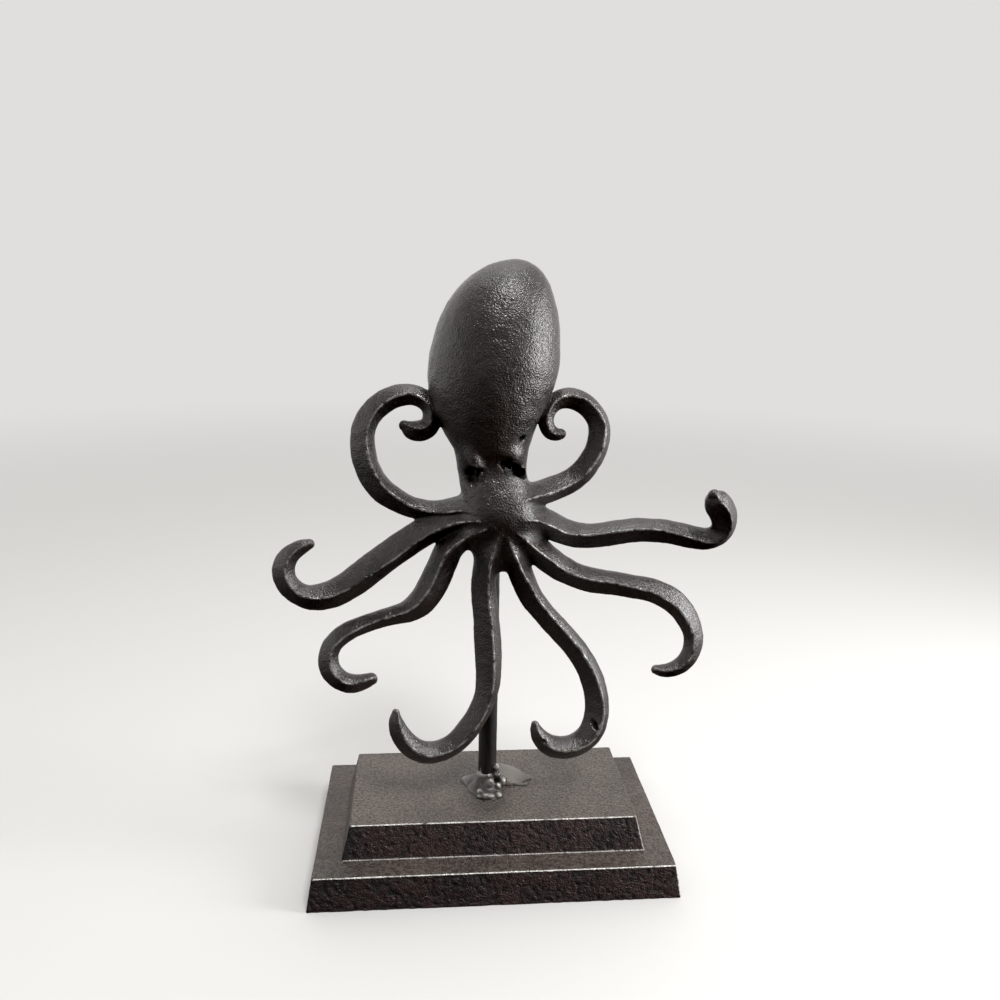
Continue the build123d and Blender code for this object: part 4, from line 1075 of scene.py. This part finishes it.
tg = Grid((-13.0, -8.0, 134.0), (11.0, 9.5, 164.0), VOX_WELD)
tx, ty, tz = tg.full()
rod_t = np.maximum(np.sqrt((tx - POST_X)**2 + ty**2) - POST_R, tz - POST_TOP_Z)
top = ellipsoid(tx, ty, tz, (POST_X, 1.2, 149.0), (7.6, 4.8, 10.4))
for at, size in (((-6.2, 1.2, 144.0), (3.0, 3.4, 3.6)), ((3.6, 1.4, 145.5), (3.0, 3.2, 3.4)),
                 ((-5.6, 1.6, 152.0), (3.2, 3.2, 3.6)), ((3.0, 1.8, 153.0), (3.2, 3.0, 3.4)),
                 ((-1.4, 3.4, 156.0), (3.6, 3.0, 3.2))):
    top = smin(top, ellipsoid(tx, ty, tz, at, size), 1.4)
TP = np.stack(np.broadcast_arrays(tx, ty, tz), -1)
top = top + 0.4 * gradient_noise(54)(TP / 3.2) + 0.15 * gradient_noise(55)(TP / 1.5)
hub_t = grid.sample(skin, TP.reshape(-1, 3)).reshape(top.shape)
top = np.maximum(top, -(hub_t + 0.5))
top = np.maximum(top, -(rod_t + 0.3)).astype(np.float32)
tv, tq = one_body(*tg.skin(settled(top)))
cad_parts["post_top_weld"].name = "post_top_weld.cad"
# convex spots painted as bright metal: painted highlight, as on the foot weld
top_weld = make_object("post_top_weld", tv, tq, None,
                       np.clip(tg.sample(blurred(top, 3), tv) / 0.5, 0, 1), weld_metal)
place(top_weld, "weld_metal", "post_top_weld")

# ------------------------------------------------------------------ floor, light, camera
floor_mat = bpy.data.materials.new("floor")
floor_mat.use_nodes = True
fb = floor_mat.node_tree.nodes["Principled BSDF"]
fb.inputs["Base Color"].default_value = (0.70, 0.69, 0.675, 1)
fb.inputs["Roughness"].default_value = 0.75
ft = floor_mat.node_tree
spot = node(ft, "ShaderNodeTexCoord", (-900, -300))
far = node(ft, "ShaderNodeVectorMath", (-700, -300))
far.operation = "LENGTH"
ft.links.new(spot.outputs["Object"], far.inputs[0])
fade = node(ft, "ShaderNodeMapRange", (-480, -300))
fade.interpolation_type = "SMOOTHSTEP"
for key, value in (("From Min", 0.25), ("From Max", 1.6)):
    fade.inputs[key].default_value = value
ft.links.new(far.outputs["Value"], fade.inputs["Value"])
pale = node(ft, "ShaderNodeEmission", (-240, -200), Color=(0.93, 0.92, 0.90, 1), Strength=0.80)
join = node(ft, "ShaderNodeMixShader", (0, -100))
ft.links.new(fade.outputs["Result"], join.inputs["Fac"])
ft.links.new(fb.outputs["BSDF"], join.inputs[1])
ft.links.new(pale.outputs["Emission"], join.inputs[2])
ft.links.new(join.outputs["Shader"], ft.nodes["Material Output"].inputs["Surface"])
fl = bpy.data.meshes.new("floor")
fl.from_pydata([(-40, -40, 0), (40, -40, 0), (40, 40, 0), (-40, 40, 0)], [], [(0, 1, 2, 3)])
fl.materials.append(floor_mat)
floor = bpy.data.objects.new("floor", fl)
bpy.context.scene.collection.objects.link(floor)
floor.visible_glossy = False
floor.visible_diffuse = False

scene = bpy.context.scene
world = bpy.data.worlds.new("studio")
scene.world = world
world.use_nodes = True
wt = world.node_tree
sky = wt.nodes["Background"]
sky.inputs["Color"].default_value = (0.97, 0.96, 0.94, 1)
facing = node(wt, "ShaderNodeTexCoord", (-900, 0))
split = node(wt, "ShaderNodeSeparateXYZ", (-700, 0))
wt.links.new(facing.outputs["Generated"], split.inputs["Vector"])
behind = node(wt, "ShaderNodeMapRange", (-480, 120))
behind.interpolation_type = "SMOOTHSTEP"
for key, value in (("From Min", -0.5), ("From Max", 0.9), ("To Min", 0.22), ("To Max", 1.15)):
    behind.inputs[key].default_value = value
wt.links.new(split.outputs["Y"], behind.inputs["Value"])
above = node(wt, "ShaderNodeMapRange", (-480, -160))
above.interpolation_type = "SMOOTHSTEP"
for key, value in (("From Min", -0.50), ("From Max", 0.05), ("To Min", 0.006), ("To Max", 1.0)):
    above.inputs[key].default_value = value
wt.links.new(split.outputs["Z"], above.inputs["Value"])
glow = node(wt, "ShaderNodeMath", (-240, 0))
glow.operation = "MULTIPLY"
wt.links.new(behind.outputs["Result"], glow.inputs[0])
wt.links.new(above.outputs["Result"], glow.inputs[1])
sides = []
for axis, low_a, high_a, low_z, high_z, level_at in (("X", -0.45, -0.90, -0.55, -0.22, 0.55),
                                                     ("X", 0.15, -0.60, -1.15, -0.45, 0.13),
                                                     ("X", 0.42, 0.82, -0.72, -0.36, 0.80),
                                                     ("Y", 0.30, 0.65, -0.85, -0.35, 0.22)):
    along_a = node(wt, "ShaderNodeMapRange", (-480, -420))
    along_z = node(wt, "ShaderNodeMapRange", (-480, -680))
    for m, a, b, top in ((along_a, low_a, high_a, level_at), (along_z, low_z, high_z, 1.0)):
        m.interpolation_type = "SMOOTHSTEP"
        for key, value in (("From Min", a), ("From Max", b), ("To Max", top)):
            m.inputs[key].default_value = value
    wt.links.new(split.outputs[axis], along_a.inputs["Value"])
    wt.links.new(split.outputs["Z"], along_z.inputs["Value"])
    both = node(wt, "ShaderNodeMath", (-240, -420))
    both.operation = "MULTIPLY"
    wt.links.new(along_a.outputs["Result"], both.inputs[0])
    wt.links.new(along_z.outputs["Result"], both.inputs[1])
    sides.append(both)
total = glow
for both in sides:
    more = node(wt, "ShaderNodeMath", (-60, -300))
    more.operation = "MAXIMUM"
    wt.links.new(total.outputs["Value"], more.inputs[0])
    wt.links.new(both.outputs["Value"], more.inputs[1])
    total = more
wt.links.new(total.outputs["Value"], sky.inputs["Strength"])
plain = node(wt, "ShaderNodeBackground", (0, -200), Color=(0.93, 0.92, 0.90, 1), Strength=0.80)
seen = node(wt, "ShaderNodeLightPath", (0, 300))
choose = node(wt, "ShaderNodeMixShader", (220, 0))
wt.links.new(seen.outputs["Is Camera Ray"], choose.inputs["Fac"])
wt.links.new(sky.outputs["Background"], choose.inputs[1])
wt.links.new(plain.outputs["Background"], choose.inputs[2])
wt.links.new(choose.outputs["Shader"], wt.nodes["World Output"].inputs["Surface"])
scene.view_settings.view_transform = "Standard"
scene.view_settings.use_curve_mapping = True
scene.view_settings.curve_mapping.black_level = (0.0049, 0.0049, 0.0049)
scene.view_settings.curve_mapping.update()


def softbox(name, at, aim, size, watts, colour=(1, 1, 1)):
    light = bpy.data.lights.new(name, "AREA")
    light.shape = "RECTANGLE"
    light.size, light.size_y = size
    light.energy = watts
    light.color = colour
    o = bpy.data.objects.new(name, light)
    o.location = at
    o.rotation_euler = (Vector(aim) - Vector(at)).to_track_quat("-Z", "Y").to_euler()
    o.visible_camera = False
    scene.collection.objects.link(o)
    return o


def direction(azimuth, elevation, far, about=(0.0, -0.012, 0.19)):
    """A place seen from the figure: degrees to the viewer's right of front, degrees up, metres."""
    az, el = math.radians(azimuth), math.radians(elevation)
    return (about[0] + far * math.sin(az) * math.cos(el), about[1] - far * math.cos(az) * math.cos(el),
            about[2] + far * math.sin(el))


softbox("lamp", direction(21, 56, 0.95), (0, -0.01, 0.19), (0.24, 0.24), 5.6)
softbox("window", direction(78, 6, 0.60), (0, -0.01, 0.20), (0.20, 0.44), 3.3)
softbox("left", direction(-85, 8, 0.80), (0, -0.01, 0.18), (0.5, 0.4), 0.4)
softbox("top", (0.0, 0.10, 1.1), (0, 0, 0.1), (0.8, 0.6), 2.5)

scale = 152.4 / 150.0
eye = np.array([-27.855, -345.145, 241.694]) * scale
yaw, pitch, roll = (math.radians(a) for a in (-4.9766, 13.9811, 1.0309))
ahead = np.array([-math.sin(yaw) * math.cos(pitch), math.cos(yaw) * math.cos(pitch), -math.sin(pitch)])
right = np.array([math.cos(yaw), math.sin(yaw), 0.0])
up = np.cross(right, ahead)
r2 = right * math.cos(roll) + up * math.sin(roll)
u2 = -right * math.sin(roll) + up * math.cos(roll)
cam = bpy.data.cameras.new("camera")
cam.sensor_width = 36.0
cam.lens = 36.0 * 883.336 / 1000.0
cam.clip_start = 0.01
cam_o = bpy.data.objects.new("camera", cam)
m = Matrix.Identity(4)
for i in range(3):
    m[i][0], m[i][1], m[i][2], m[i][3] = r2[i], u2[i], -ahead[i], eye[i] * MM
cam_o.matrix_world = m
scene.collection.objects.link(cam_o)
scene.camera = cam_o

bpy.context.view_layer.update()
